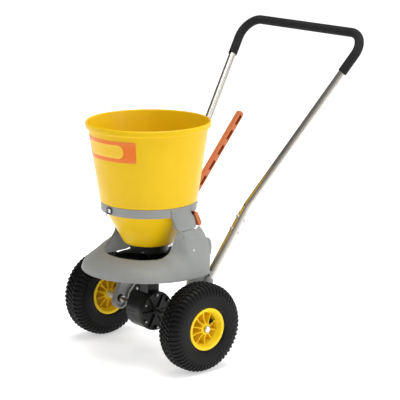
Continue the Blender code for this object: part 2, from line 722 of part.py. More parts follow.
def shell_sections():
    """Rising curves of the left half: apron, swoop up to the pillar, pillar, rear corner."""
    sections = []
    for step in range(9):
        turn = math.radians(62 * step / 8)
        lean = math.radians(46 * step / 8)
        rings = ((APRON_R, APRON_LOW, turn), (0.1960, 0.2840, turn), (0.1700, 0.3080, (turn + lean) / 2),
                 (MOUTH_R, MOUTH_Z, lean))
        sections.append([(radius * math.sin(angle), -radius * math.cos(angle), height)
                         for radius, height, angle in rings])
    sections += [
        [(0.1880, -0.0690, 0.2630), (0.1850, -0.0640, 0.2850), (0.1600, -0.0640, 0.3120), (0.1100, -0.0745, 0.3145)],
        [(0.1940, -0.0480, 0.2630), (0.1900, -0.0440, 0.2880), (0.1680, -0.0450, 0.3200), (0.1225, -0.0600, 0.3170)],
        [(0.1965, -0.0300, 0.2630), (0.1910, -0.0270, 0.2920), (0.1680, -0.0270, 0.3250), (0.1305, -0.0460, 0.3235)],
        [(0.1970, -0.0150, 0.2630), (0.1900, -0.0120, 0.2980), (0.1620, -0.0160, 0.3280), (0.1345, -0.0320, 0.3350)],
        [(0.1970, 0.0000, 0.2630), (0.1890, 0.0020, 0.3020), (0.1580, -0.0020, 0.3400), (0.1355, -0.0215, 0.3560)],
        [(0.1965, 0.0170, 0.2630), (0.1880, 0.0200, 0.3040), (0.1560, 0.0120, 0.3600), (0.1420, -0.0110, 0.3910)],
        [(0.1958, 0.0330, 0.2632), (0.1865, 0.0370, 0.3050), (0.1560, 0.0280, 0.3600), (0.1525, 0.0070, 0.3936)],
        [(0.1950, 0.0500, 0.2640), (0.1850, 0.0580, 0.3050), (0.1560, 0.0520, 0.3560), (0.1530, 0.0250, 0.3948)],
        [(0.1940, 0.0620, 0.2650), (0.1805, 0.0740, 0.3040), (0.1552, 0.0750, 0.3480), (0.1530, 0.0420, 0.3955)],
        [(0.1920, 0.0700, 0.2670), (0.1765, 0.0850, 0.3020), (0.1545, 0.0890, 0.3430), (0.1525, 0.0540, 0.3958)],
        [(0.1860, 0.0735, 0.2680), (0.1680, 0.0985, 0.3040), (0.1480, 0.1130, 0.3480), (0.1425, 0.0770, 0.3958)],
        [(0.1760, 0.0760, 0.2680), (0.1560, 0.0990, 0.3040), (0.1360, 0.1130, 0.3480), (0.1300, 0.0780, 0.3950)],
    ]
    return sections


def thickened(mesh, depth):
    """Give an open surface a wall on its inner side."""
    sheet = bpy.data.objects.new("sheet", mesh)
    bpy.context.collection.objects.link(sheet)
    wall = sheet.modifiers.new("wall", "SOLIDIFY")
    wall.thickness = depth
    wall.offset = -1.0
    wall.use_even_offset = True
    graph = bpy.context.evaluated_depsgraph_get()
    solid = bpy.data.meshes.new_from_object(sheet.evaluated_get(graph))
    bpy.data.objects.remove(sheet, do_unlink=True)
    return solid


def add_shell():
    """Apron, side panels and pillars: one thin moulding, open at the back, with a lug behind each pillar."""
    left = shell_sections()
    right = [[(-x, y, z) for x, y, z in section] for section in left[:0:-1]]
    rows = 6
    points = []
    for section in right + left:
        for row in range(rows + 1):
            points.append(bezier(*section, row / rows))
    faces = []
    for column in range(len(right + left) - 1):
        for row in range(rows):
            first = column * (rows + 1) + row
            faces.append((first, first + rows + 1, first + rows + 2, first + 1))
    mesh = bpy.data.meshes.new("shell")
    mesh.from_pydata([tuple(point) for point in points], [], faces)
    lug = prism(REAR_LUG, LUG_IN, LUG_OUT)
    place("chassis_shell", union(thickened(mesh, SHELL_WALL), lug, mirrored(lug)), "grey_moulding")


def add_collar():
    """Ring under the tub with a sleeve that drops over each pillar."""
    ring = revolve([(COLLAR_BORE, COLLAR_LOW), (0.1400, COLLAR_LOW), (COLLAR_R, COLLAR_HIGH),
                    (COLLAR_BORE, COLLAR_HIGH)], 36)
    outline = [(-0.0290, 0.4560), (-0.0255, 0.4360), (-0.0175, 0.4180), (-0.0115, 0.4000), (-0.0060, 0.3946),
               (0.0470, 0.3970), (0.0550, 0.3985), (0.0565, 0.4020), (0.0400, 0.4560)]
    plan = [(0.1230, -0.0300), (0.1405, -0.0300), (0.1475, -0.0140), (0.1525, 0.0050), (0.1550, 0.0390),
            (0.1470, 0.0600), (0.1230, 0.0600)]
    cavity = [(-0.0050, 0.4320), (-0.0060, 0.3850), (0.0500, 0.3850), (0.0430, 0.4100), (0.0360, 0.4320)]
    way = cylinder(COLLAR_BORE, 0.4200, 0.4800, 36)
    pocket = combine(prism(outline, 0.1230, 0.1560), prism(plan, 0.38, 0.48, "z"), "INTERSECT")
    ring = cut(union(ring, pocket, mirrored(pocket)), way)
    inside = prism(cavity, 0.1255, 0.1485)
    ring = cut(ring, inside, mirrored(inside))
    ear = arc((LATCH_Y, LATCH_Z), 0.0050, -70, 110, 5) + [(LATCH_Y - 0.0130, LATCH_Z + 0.0080),
                                                          (LATCH_Y - 0.0090, LATCH_Z - 0.0090)]
    lug = prism(ear, LATCH_X - LATCH_LUG_HALF, LATCH_X + LATCH_LUG_HALF)
    pin_half = LATCH_HALF - 0.0010
    pin = across(cylinder(LATCH_PIN_R, -pin_half, pin_half, 10), (LATCH_X, LATCH_Y, LATCH_Z))
    lug = union(lug, pin)
    ring = union(ring, lug, mirrored(lug))
    place("collar_ring", ring, "grey_moulding")
    clip = box((-0.0120, -0.1440, 0.4425), (0.0120, -0.1425, 0.4575))
    place("collar_clip", clip, "black_moulding")


def add_legs():
    """Moulded legs: axle eye, arm, tube socket and an upright inside the pillar."""
    arm = arc((0.0045, 0.1190), 0.0235, 172, 330, 8)
    arm += [(0.0350, 0.1390), (0.1040, 0.2080), (0.1075, 0.2180), (0.1075, 0.2560), (0.1010, 0.2620),
            (0.0460, 0.2620), (0.0390, 0.2540)]
    leg = prism(arm, LEG_IN, LEG_OUT)
    upright = [(0.0620, 0.2300), (0.1020, 0.2300), (0.1020, 0.2620), (0.0860, 0.2950), (0.0580, 0.3500),
               (0.0270, 0.4080), (0.0240, 0.4260), (0.0050, 0.4260), (0.0050, 0.3950), (0.0160, 0.3500),
               (0.0480, 0.2900)]
    leg = union(leg, prism(upright, UPRIGHT_IN, UPRIGHT_OUT))
    foot = handle_point(TUBE_X, SOCKET_LOW_S - 0.0030, 0)
    head = handle_point(TUBE_X, SOCKET_HIGH_S, 0)
    leg = union(leg, sweep([foot, head], SOCKET_R, 0.0, 24))
    leg = cut(leg, sweep([handle_point(TUBE_X, SOCKET_LOW_S + 0.0040, 0), handle_point(TUBE_X, 0.0400, 0)],
                         LOWER_TUBE_R + GAP, 0.0, 24))
    leg = cut(leg, across(cylinder(0.0095 + GAP, 0.10, 0.20, 24), (0, 0, AXLE_Z)))
    pair("leg", leg, "grey_moulding")


def handle_point(x, along, lift):
    """A point of the handle's plane: across, up the slope, and square to it."""
    return Vector((x, HANDLE_FOOT_Y + along * math.cos(HANDLE_TILT) - lift * math.sin(HANDLE_TILT),
                   HANDLE_FOOT_Z + along * math.sin(HANDLE_TILT) + lift * math.cos(HANDLE_TILT)))


def add_beam():
    """Cross beam between the legs and the arm that holds the gearbox neck."""
    low = (-UPRIGHT_IN + GAP, BEAM_Y - BEAM_HALF, BEAM_Z - BEAM_HALF)
    high = (UPRIGHT_IN - GAP, BEAM_Y + BEAM_HALF, BEAM_Z + BEAM_HALF)
    beam = box(low, high)
    way = box((-0.2, BEAM_Y - BEAM_HALF + 0.002, BEAM_Z - BEAM_HALF + 0.002),
              (0.2, BEAM_Y + BEAM_HALF - 0.002, BEAM_Z + BEAM_HALF - 0.002))
    place("cross_beam", cut(beam, way), "stainless")
    top = BEAM_Z + BEAM_HALF + GAP
    outline = arc((0, 0), 0.0280, 180, 360, 10) + [(0.0450, 0.0700), (0.0450, 0.0980), (-0.0450, 0.0980),
                                                   (-0.0450, 0.0700)]
    arm = prism(outline, top, top + 0.0040, "z")
    place("gearbox_arm", cut(arm, cylinder(0.0088, 0.24, 0.28)), "stainless")


def add_handle():
    """Two lower tubes, the bow that slides into them, the grip and the bolts."""
    lower = sweep([handle_point(TUBE_X, SOCKET_LOW_S + 0.0050, 0), handle_point(TUBE_X, LOWER_TUBE_TOP_S, 0)], LOWER_TUBE_R,
                  LOWER_TUBE_BORE, 14)
    for along, front in ((BOLT_S[0] - BOLT_PITCH, 0.0), (BOLT_S[0], 0.03), (BOLT_S[1], 0.03)):
        lower = cut(lower, sweep([handle_point(TUBE_X, along, -0.03), handle_point(TUBE_X, along, front)],
                                 BOLT_R + GAP, 0.0, 8))
    pair("lower_tube", lower, "stainless")
    flare = math.tan(BOW_FLARE)
    corner_x = TUBE_X + (BOW_TOP_S - BOW_BEND_S) * flare
    right = rounded_path([(TUBE_X, 0.1300, 0), (TUBE_X, BOW_BEND_S, 0), (corner_x - 0.07 * flare,
                                                                     BOW_TOP_S - 0.07, 0)], 0.06, 2)
    turn = rounded_path([(corner_x - 0.07 * flare, BOW_TOP_S - 0.07, 0), (corner_x, BOW_TOP_S, 0),
                         (0, BOW_TOP_S, 0)], BOW_CORNER, 6)
    half = right[:-1] + turn[1:]
    flat = half[:-1] + [Vector((-point.x, point.y, 0)) for point in half[-2::-1]]
    path = [handle_point(point.x, point.y, 0) for point in flat]
    bow = sweep(path, BOW_R, BOW_BORE, 10)
    for sign in (1, -1):
        for along in BOLT_S + (BOLT_S[1] + BOLT_PITCH,):
            bow = cut(bow, sweep([handle_point(sign * TUBE_X, along, -0.03),
                                  handle_point(sign * TUBE_X, along, 0.03)], BOLT_R + GAP, 0.0, 8))
    place("handle_bow", bow, "stainless")
    start_x = TUBE_X + (GRIP_START_S - BOW_BEND_S) * flare
    gripped = [point for point in flat if point.y > GRIP_START_S]
    gripped = [Vector((start_x, GRIP_START_S, 0))] + gripped + [Vector((-start_x, GRIP_START_S, 0))]
    place("grip_sleeve", sweep([handle_point(point.x, point.y, 0) for point in gripped], GRIP_R,
                               BOW_R + GAP, 10), "foam_rubber")
    count = 0
    for sign in (1, -1):
        for along in BOLT_S:
            count += 1
            seat = LOWER_TUBE_R + GAP
            bolt = [(0, -seat - 0.0090), (BOLT_R - 0.0005, -seat - 0.0080), (BOLT_R - 0.0002, -seat - 0.0060),
                    (0.0065, -seat - 0.0060), (0.0065, -seat), (BOLT_R - 0.0002, -seat), (BOLT_R - 0.0002, seat),
                    (0.0065, seat), (0.0060, seat + 0.0030), (0.0030, seat + 0.0045), (0, seat + 0.0045)]
            place(f"handle_bolt_{count}", revolve(bolt, 10), "zinc", handle_point(sign * TUBE_X, along, 0),
                  (HANDLE_TILT, 0, 0))


def add_lever():
    """Bracket on the cross beam, pivot, dosing lever and the pin that moves the gate."""
    tilt = LEVER_TILT - math.pi / 2
    ears = [(0.0990, 0.2600), (0.1180, 0.2600), (0.1360, 0.2760), (0.1420, 0.3000), (0.1440, 0.3380)]
    ears += arc((PIVOT_Y, PIVOT_Z), 0.0105, -10, 200, 7)
    ears += [(0.1275, 0.3300), (0.1270, 0.2950), (0.1200, 0.2820), (0.0990, 0.2720)]
    plate = prism(ears, LEVER_X - 0.0115, LEVER_X + 0.0115)
    slot = prism([(0.0600, 0.2760), (0.2000, 0.2760), (0.2000, 0.4000), (0.0600, 0.4000)],
                 LEVER_X - 0.0078, LEVER_X + 0.0078)
    bracket = cut(plate, slot, across(cylinder(PIVOT_R + GAP, -0.1, 0.1), (0, PIVOT_Y, PIVOT_Z)))
    place("lever_bracket", bracket, "black_moulding")
    pivot = [(0, -0.0155), (0.0070, -0.0155), (0.0070, -0.0118), (PIVOT_R, -0.0118), (PIVOT_R, 0.0118),
             (0.0070, 0.0118), (0.0070, 0.0155), (0, 0.0155)]
    place("lever_pivot", revolve(pivot, 16), "zinc", (LEVER_X, PIVOT_Y, PIVOT_Z), (0, math.pi / 2, 0))
    front, rear = -LEVER_HALF, LEVER_HALF - 0.0020
    outline = [(front, LEVER_TOP - 0.004), (front, 0.0), (-0.0075, -LEVER_FOOT)]
    outline += arc((0, -LEVER_FOOT), 0.0075, 200, 340, 4) + [(rear, 0.0), (rear, LEVER_TOP - 0.010),
                                                            (0.0050, LEVER_TOP), (-0.0070, LEVER_TOP)]
    lever = prism(outline, -LEVER_THICK / 2, LEVER_THICK / 2)
    pockets = []
    for index in range(POCKET_COUNT):
        high = LEVER_TOP - 0.0080 - POCKET_PITCH * index
        pockets.append(prism([(-0.0030, high), (rear - 0.0022, high - 0.0050), (rear - 0.0022, high - 0.0330),
                              (-0.0030, high - 0.0380)], -LEVER_THICK / 2 + 0.0030, LEVER_THICK))
    lever = cut(lever, joined(pockets), across(cylinder(PIVOT_R + 0.0002, -0.02, 0.02)))
    lever = cut(lever, across(cylinder(0.0031, -0.02, 0.02, 12), (0, 0, -LEVER_FOOT)))
    place("dosing_lever", lever, "orange_moulding", (LEVER_X, PIVOT_Y, PIVOT_Z), (tilt, 0, 0))
    foot_y = PIVOT_Y - LEVER_FOOT * math.cos(LEVER_TILT)
    foot_z = PIVOT_Z - LEVER_FOOT * math.sin(LEVER_TILT)
    pin = [(0, -0.0085), (0.0045, -0.0085), (0.0045, -0.0073), (0.0028, -0.0073), (0.0028, 0.0175), (0, 0.0175)]
    place("gate_pin", revolve(pin, 12), "zinc", (LEVER_X, foot_y, foot_z), (0, math.pi / 2, 0))


def add_latches():
    """Orange latch on the back of each sleeve, hinged at its upper end."""
    outline = [(-0.0065, -0.0010), (-0.0055, 0.0050), (-0.0030, 0.0070), (0.0010, 0.0060), (0.0040, 0.0030),
               (0.0182, -0.0250), (0.0186, -0.0290), (0.0142, -0.0375), (0.0110, -0.0385), (0.0085, -0.0365)]
    latch = prism(outline, -LATCH_HALF, LATCH_HALF)
    slot = box((-LATCH_LUG_HALF - 0.0004, -0.0200, -0.0095), (LATCH_LUG_HALF + 0.0004, 0.0056, 0.0200))
    way = across(cylinder(LATCH_PIN_R + GAP, -LATCH_HALF + 0.0006, LATCH_HALF - 0.0006, 10))
    latch = cut(latch, slot, way)
    for side, sign in (("left", 1), ("right", -1)):
        place(side + "_latch", latch.copy(), "orange_moulding", (sign * LATCH_X, LATCH_Y, LATCH_Z))


def add_stand():
    """Bent rod under the cross beam with a rubber pad on the ground."""
    top = BEAM_Z - BEAM_HALF - 0.0080
    half = [(0.0180, BEAM_Y - 0.0100, top), (0.0180, STAND_Y - 0.0080, top), (0.0470, STAND_Y, STAND_PAD_R)]
    corners = half + [(-x, y, z) for x, y, z in half[::-1]]
    rod = sweep(rounded_path(corners, 0.0180, 4), STAND_ROD_R, 0.0, 12)
    plate = box((-0.0300, BEAM_Y - 0.0110, top + 0.0030), (0.0300, BEAM_Y + 0.0110, BEAM_Z - BEAM_HALF - GAP))
    place("stand", union(rod, plate), "stainless")
    sole = arc((STAND_Y, STAND_PAD_R), STAND_PAD_R, 0, 180, 8)
    sole += [(STAND_Y - STAND_PAD_R, 0), (STAND_Y + STAND_PAD_R, 0)]
    rod_way = across(cylinder(STAND_ROD_R + GAP, -0.05, 0.05, 16), (0, STAND_Y, STAND_PAD_R))
    place("stand_pad", cut(prism(sole, -STAND_PAD_HALF, STAND_PAD_HALF), rod_way), "black_moulding")


clear_scene()
datum = bpy.data.objects.new("machine_datum", None)
bpy.context.collection.objects.link(datum)
datum.location = (0, AXLE_Y, 0)
for finish, (colour, roughness, metallic) in FINISHES.items():
    make_material(finish, colour, roughness, metallic)
for wheel_side, wheel_sign in (("left", 1), ("right", -1)):
    add_wheel(wheel_side, wheel_sign)
add_axle()
add_gearbox()
add_drive()
add_spinner()
add_hopper()
add_label()
add_metering()
add_shell()
add_collar()
add_legs()
add_beam()
add_handle()
add_lever()
add_latches()
add_stand()
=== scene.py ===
import math

import bmesh
import bpy
from mathutils import Matrix, Vector


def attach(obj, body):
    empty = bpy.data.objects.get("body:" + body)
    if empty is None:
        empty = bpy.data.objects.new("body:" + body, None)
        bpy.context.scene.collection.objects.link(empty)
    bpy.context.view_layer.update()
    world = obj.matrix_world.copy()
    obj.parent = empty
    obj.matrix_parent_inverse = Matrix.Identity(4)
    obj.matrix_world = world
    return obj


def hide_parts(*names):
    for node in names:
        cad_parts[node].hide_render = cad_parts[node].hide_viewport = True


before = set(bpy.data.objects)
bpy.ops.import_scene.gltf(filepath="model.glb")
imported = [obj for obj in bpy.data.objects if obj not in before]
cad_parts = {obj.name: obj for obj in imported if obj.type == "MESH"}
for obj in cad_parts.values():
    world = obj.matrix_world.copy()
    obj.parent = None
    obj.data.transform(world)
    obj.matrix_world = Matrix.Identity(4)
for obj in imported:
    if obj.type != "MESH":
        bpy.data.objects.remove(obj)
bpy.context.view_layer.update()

# Shared sizes, in metres, measured from the axle line: X to the machine's left, travel towards -Y
AXLE_Y = -0.2156
AXLE_Z = 0.13
WHEEL_X = 0.2297
AXLE_R = 0.006
AXLE_HALF = 0.2655
HUB_R = 0.0155
HUB_X = 0.031
FLANGE_R = 0.0623
FLANGE_X = 0.0367
RIB_COUNT = 10
VALVE_TURN = math.radians(38)
LUG_COUNT = 56
CROWN_FALL = 3.1
DRUM_R = 0.058
DRUM_WALL = 0.0035
COVER_SCREW_COUNT = 6
COVER_SCREW_R = DRUM_R - 0.0085
DRUM_LOW_X = -0.041
DRUM_HIGH_X = 0.0267
COVER_HIGH_X = 0.037
SPINNER_R = 0.108
SPINNER_Z = 0.286
SHAFT_R = 0.0045
HOPPER_TOP = 0.698
HOPPER_LIP_R = 0.1827
HOPPER_FLOOR = 0.3355
AGITATOR_Z = 0.349
HOPPER_WALL = 0.0026
WALL_FOOT_R = 0.142
WALL_TOP_R = 0.1726
WALL_TOP_Z = 0.6665
COLLAR_LOW = 0.437
COLLAR_HIGH = 0.463
COLLAR_R = 0.1415
COLLAR_BORE = 0.1369
HANDLE_TILT = math.radians(52.8)
HANDLE_FOOT_Y = 0.1077
HANDLE_FOOT_Z = 0.2489
TUBE_X = 0.153
LOWER_TUBE_R = 0.013
LOWER_TUBE_BORE = 0.0115
LOWER_TUBE_TOP_S = 0.208
BOW_R = 0.011
BOW_BORE = 0.0096
BOW_BEND_S = 0.2365
BOW_FLARE = math.radians(11.38)
BOW_TOP_S = 0.843
BOW_CORNER = 0.06
GRIP_R = 0.014
GRIP_START_S = 0.7076
BOLT_S = (0.148, 0.1885)
LEG_IN = 0.143
LEG_OUT = 0.164
UPRIGHT_IN = 0.128
UPRIGHT_OUT = 0.1455
BEAM_Y = 0.086
BEAM_Z = 0.247
BEAM_HALF = 0.012
LEVER_X = -0.05
LEVER_TILT = math.radians(50.5)
PIVOT_Y = 0.1329
PIVOT_Z = 0.345
LEVER_TOP = 0.4194
LEVER_FOOT = 0.045
LATCH_X = 0.1455
LATCH_Y = 0.054
LATCH_Z = 0.44
STAND_Y = 0.175
GATE_Z = 0.315
SOCKET_LOW_S = -0.064
SOCKET_HIGH_S = -0.012
LATCH_HALF = 0.0085
PEG_TURN = math.atan2(0.768, 0.64)
REAR_LUG = [(0.09, 0.359), (0.107, 0.3585), (0.112, 0.353), (0.1155, 0.345), (0.1172, 0.335),
            (0.117, 0.322), (0.1145, 0.311), (0.109, 0.301), (0.09, 0.305)]
SIDES = (("left", 1), ("right", -1))


# Meshes -----------------------------------------------------------------------

def build_mesh(points, faces):
    """A mesh whose faces all point outwards."""
    mesh = bpy.data.meshes.new("shape")
    mesh.from_pydata([tuple(point) for point in points], [], faces)
    body = bmesh.new()
    body.from_mesh(mesh)
    bmesh.ops.recalc_face_normals(body, faces=body.faces)
    body.to_mesh(mesh)
    body.free()
    return mesh


def bands(rows, closed=True):
    """Faces between each row of point numbers and the next, with triangles where a row meets a pole."""
    faces = []
    for row, following in zip(rows, rows[1:]):
        for step in range(len(row) if closed else len(row) - 1):
            after = (step + 1) % len(row)
            corners = list(dict.fromkeys([row[step], following[step], following[after], row[after]]))
            if len(corners) > 2:
                faces.append(corners)
    return faces


def fillet(outline, radius, steps=3, least=14):
    """Round the corners of a closed flat outline that turn by more than a few degrees."""
    found = []
    count = len(outline)
    for index, corner in enumerate(outline):
        here = Vector(corner)
        before = Vector(outline[index - 1]) - here
        after = Vector(outline[(index + 1) % count]) - here
        turn = math.pi - before.angle(after, math.pi)
        if turn < math.radians(least) or here.x == 0:
            found.append(tuple(here))
            continue
        reach = min(radius * math.tan(turn / 2), before.length * 0.45, after.length * 0.45)
        start = here + before.normalized() * reach
        end = here + after.normalized() * reach
        for step in range(steps + 1):
            share = step / steps
            point = start * (1 - share) ** 2 + here * 2 * share * (1 - share) + end * share ** 2
            found.append(tuple(point))
    return found


def rectangle(low, high, radius=0.0, steps=3):
    """Outline between two opposite corners, rounded if it has a radius."""
    outline = [low, (high[0], low[1]), high, (low[0], high[1])]
    return fillet(outline, radius, steps) if radius else outline


def revolve(profile, segments=96):
    """Turn a closed (radius, height) outline about local Z."""
    points = []
    columns = []
    for step in range(segments):
        turn = 2 * math.pi * step / segments
        column = []
        for index, (radius, height) in enumerate(profile):
            if radius == 0 and step > 0:
                column.append(columns[0][index])
                continue
            column.append(len(points))
            points.append((radius * math.cos(turn), radius * math.sin(turn), height))
        columns.append(column)
    return build_mesh(points, bands(columns + columns[:1]))


def sleeve(inner, outer, low, high, segments=48, soft=0.0):
    return revolve(rectangle((inner, low), (outer, high), soft), segments)


def cylinder(radius, low, high, segments=48, soft=0.0):
    return sleeve(0, radius, low, high, segments, soft)


def box(low, high):
    points = [(x, y, z) for x in (low[0], high[0]) for y in (low[1], high[1]) for z in (low[2], high[2])]
    faces = [(0, 1, 3, 2), (4, 6, 7, 5), (0, 4, 5, 1), (2, 3, 7, 6), (0, 2, 6, 4), (1, 5, 7, 3)]
    return build_mesh(points, faces)


def prism(outline, low, high, across="x"):
    """Extrude a flat outline. Across x the outline is (y, z); across z it is (x, y)."""
    points = []
    for depth in (low, high):
        for first, second in outline:
            points.append((depth, first, second) if across == "x" else (first, second, depth))
    count = len(outline)
    ends = [range(count), range(count, 2 * count)]
    return build_mesh(points, ends + bands(ends))


def arc(centre, radius, start, end, steps):
    """Points round a circle; the angles are in degrees."""
    found = []
    for step in range(steps + 1):
        angle = math.radians(start + (end - start) * step / steps)
        found.append((centre[0] + radius * math.cos(angle), centre[1] + radius * math.sin(angle)))
    return found


def rounded_path(corners, radius, steps=12):
    """A path through corners, with an arc of one radius at each inner corner."""
    path = [Vector(corners[0])]
    for index in range(1, len(corners) - 1):
        before, corner, after = (Vector(corners[index + shift]) for shift in (-1, 0, 1))
        inward = (before - corner).normalized()
        outward = (after - corner).normalized()
        half = inward.angle(outward) / 2
        tangent = radius / math.tan(half)
        centre = corner + (inward + outward).normalized() * (radius / math.sin(half))
        first = corner + inward * tangent - centre
        last = corner + outward * tangent - centre
        turn = first.angle(last)
        for step in range(steps + 1):
            share = step / steps
            weight_first = math.sin((1 - share) * turn) / math.sin(turn)
            weight_last = math.sin(share * turn) / math.sin(turn)
            path.append(centre + first * weight_first + last * weight_last)
    path.append(Vector(corners[-1]))
    return path


def sweep(path, outer, inner=0.0, segments=40, ripple=None):
    """A rod or tube along a path, with its own coordinates: round it in u, along it in v."""
    path = [Vector(point) for point in path]
    lengths = [0.0]
    for before, after in zip(path, path[1:]):
        lengths.append(lengths[-1] + (after - before).length)
    side = (path[1] - path[0]).orthogonal().normalized()
    points = []
    marks = []
    walls = [(outer, [])] + ([(inner, [])] if inner else [])
    for index, centre in enumerate(path):
        ahead = path[min(index + 1, len(path) - 1)]
        behind = path[max(index - 1, 0)]
        heading = (ahead - behind).normalized()
        side = (side - heading * side.dot(heading)).normalized()
        other = heading.cross(side)
        for reach, rings in walls:
            if ripple and reach == outer:
                reach = ripple(reach, lengths[index], lengths[-1])
            rings.append(range(len(points), len(points) + segments))
            for step in range(segments):
                turn = 2 * math.pi * step / segments
                points.append(centre + (side * math.cos(turn) + other * math.sin(turn)) * reach)
                marks.append((step / segments, lengths[index]))
    faces = [face for _, rings in walls for face in bands(rings)]
    for end in (0, -1):
        ring = walls[0][1][end]
        faces += bands([ring, walls[1][1][end]]) if inner else [ring]
    mesh = build_mesh(points, faces)
    layer = mesh.uv_layers.new(name="run")
    girth = 2 * math.pi * outer
    for face in mesh.polygons:
        first = marks[mesh.loops[face.loop_start].vertex_index][0]
        for loop_index in face.loop_indices:
            around, along = marks[mesh.loops[loop_index].vertex_index]
            if around - first > 0.5:
                around -= 1
            if around - first < -0.5:
                around += 1
            layer.data[loop_index].uv = (around * girth, along)
    return mesh


def rod(start, end, radius, segments):
    """A straight rod between two points."""
    start, end = Vector(start), Vector(end)
    return sweep([start, (start + end) / 2, end], radius, 0.0, segments)


def moved(mesh, location=(0, 0, 0), rotation=(0, 0, 0)):
    turn = Matrix.Rotation(rotation[2], 4, "Z") @ Matrix.Rotation(rotation[1], 4, "Y")
    mesh.transform(Matrix.Translation(location) @ turn @ Matrix.Rotation(rotation[0], 4, "X"))
    return mesh


def along_x(mesh, location=(0, 0, 0)):
    return moved(mesh, location, (0, math.pi / 2, 0))


def joined(meshes):
    body = bmesh.new()
    for mesh in meshes:
        body.from_mesh(mesh)
    result = bpy.data.meshes.new("group")
    body.to_mesh(result)
    body.free()
    return result


def combine(mesh, other, operation):
    """Boolean two closed meshes."""
    target = bpy.data.objects.new("target", mesh)
    tool = bpy.data.objects.new("tool", other)
    for thing in (target, tool):
        bpy.context.scene.collection.objects.link(thing)
    step = target.modifiers.new("boolean", "BOOLEAN")
    step.operation = operation
    step.object = tool
    step.solver = "EXACT"
    graph = bpy.context.evaluated_depsgraph_get()
    result = bpy.data.meshes.new_from_object(target.evaluated_get(graph))
    for thing in (target, tool):
        bpy.data.objects.remove(thing, do_unlink=True)
    body = bmesh.new()
    body.from_mesh(result)
    bmesh.ops.remove_doubles(body, verts=body.verts, dist=0.000004)
    bmesh.ops.dissolve_degenerate(body, edges=body.edges, dist=0.000004)
    body.to_mesh(result)
    body.free()
    return result


def union(mesh, *others):
    for other in others:
        mesh = combine(mesh, other, "UNION")
    return mesh


def cut(mesh, *others):
    for other in others:
        mesh = combine(mesh, other, "DIFFERENCE")
    return mesh


def mirrored(mesh):
    other = mesh.copy()
    other.transform(Matrix.Scale(-1, 4, (1, 0, 0)))
    other.flip_normals()
    return other


def add(name, mesh, finish, node="", bevel=0.0, location=(0, 0, 0), rotation=(0, 0, 0), smooth=34, segments=2,
        body="chassis"):
    """Add one shown piece that rides on a CAD body and may stand for one of its nodes."""
    piece = bpy.data.objects.new(name, mesh)
    bpy.context.scene.collection.objects.link(piece)
    mesh.name = name
    material, slot_name = FINISHES[finish]
    mesh.materials.clear()
    mesh.materials.append(material)
    piece.location = Vector(location) + Vector((0, AXLE_Y, 0))
    piece.rotation_euler = rotation
    mesh.shade_smooth()
    mesh.set_sharp_from_angle(angle=math.radians(smooth))
    if bevel:
        step = piece.modifiers.new("edges", "BEVEL")
        step.width = bevel
        step.segments = segments
        step.limit_method = "ANGLE"
        step.angle_limit = math.radians(smooth)
        step.harden_normals = True
        step.use_clamp_overlap = True
        step.miter_outer = "MITER_ARC"
    bpy.context.view_layer.update()
    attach(piece, body)
    if node:
        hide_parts(node)
    return piece


def add_pair(part, mesh, finish, node="", bevel=0.0, **more):
    """One piece on the left and its mirror image on the right."""
    for side, shape in (("right", mirrored(mesh)), ("left", mesh)):
        add(f"{side}_{part}", shape, finish, node and f"{side}_{node}", bevel, **more)


# Finishes ---------------------------------------------------------------------

class NodeTree:
    """The nodes of one material or of the world."""

    def __init__(self, owner):
        owner.use_nodes = True
        self.nodes = owner.node_tree.nodes
        self.links = owner.node_tree.links

    def node(self, kind, sources=(), operation=None, **values):
        """A node with its first inputs linked to the sources and other inputs set by label."""
        step = self.nodes.new("ShaderNode" + kind)
        if operation:
            step.operation = operation
        for label, value in values.items():
            step.inputs[label.replace("_", " ")].default_value = value
        for index, source in enumerate(sources):
            self.links.new(source, step.inputs[index])
        return step

    def fade(self, source, low, high, to_low=0.0, to_high=1.0):
        """Map a range of one value onto another range."""
        step = self.node("MapRange", [source], From_Min=low, From_Max=high, To_Min=to_low, To_Max=to_high)
        return step.outputs["Result"]


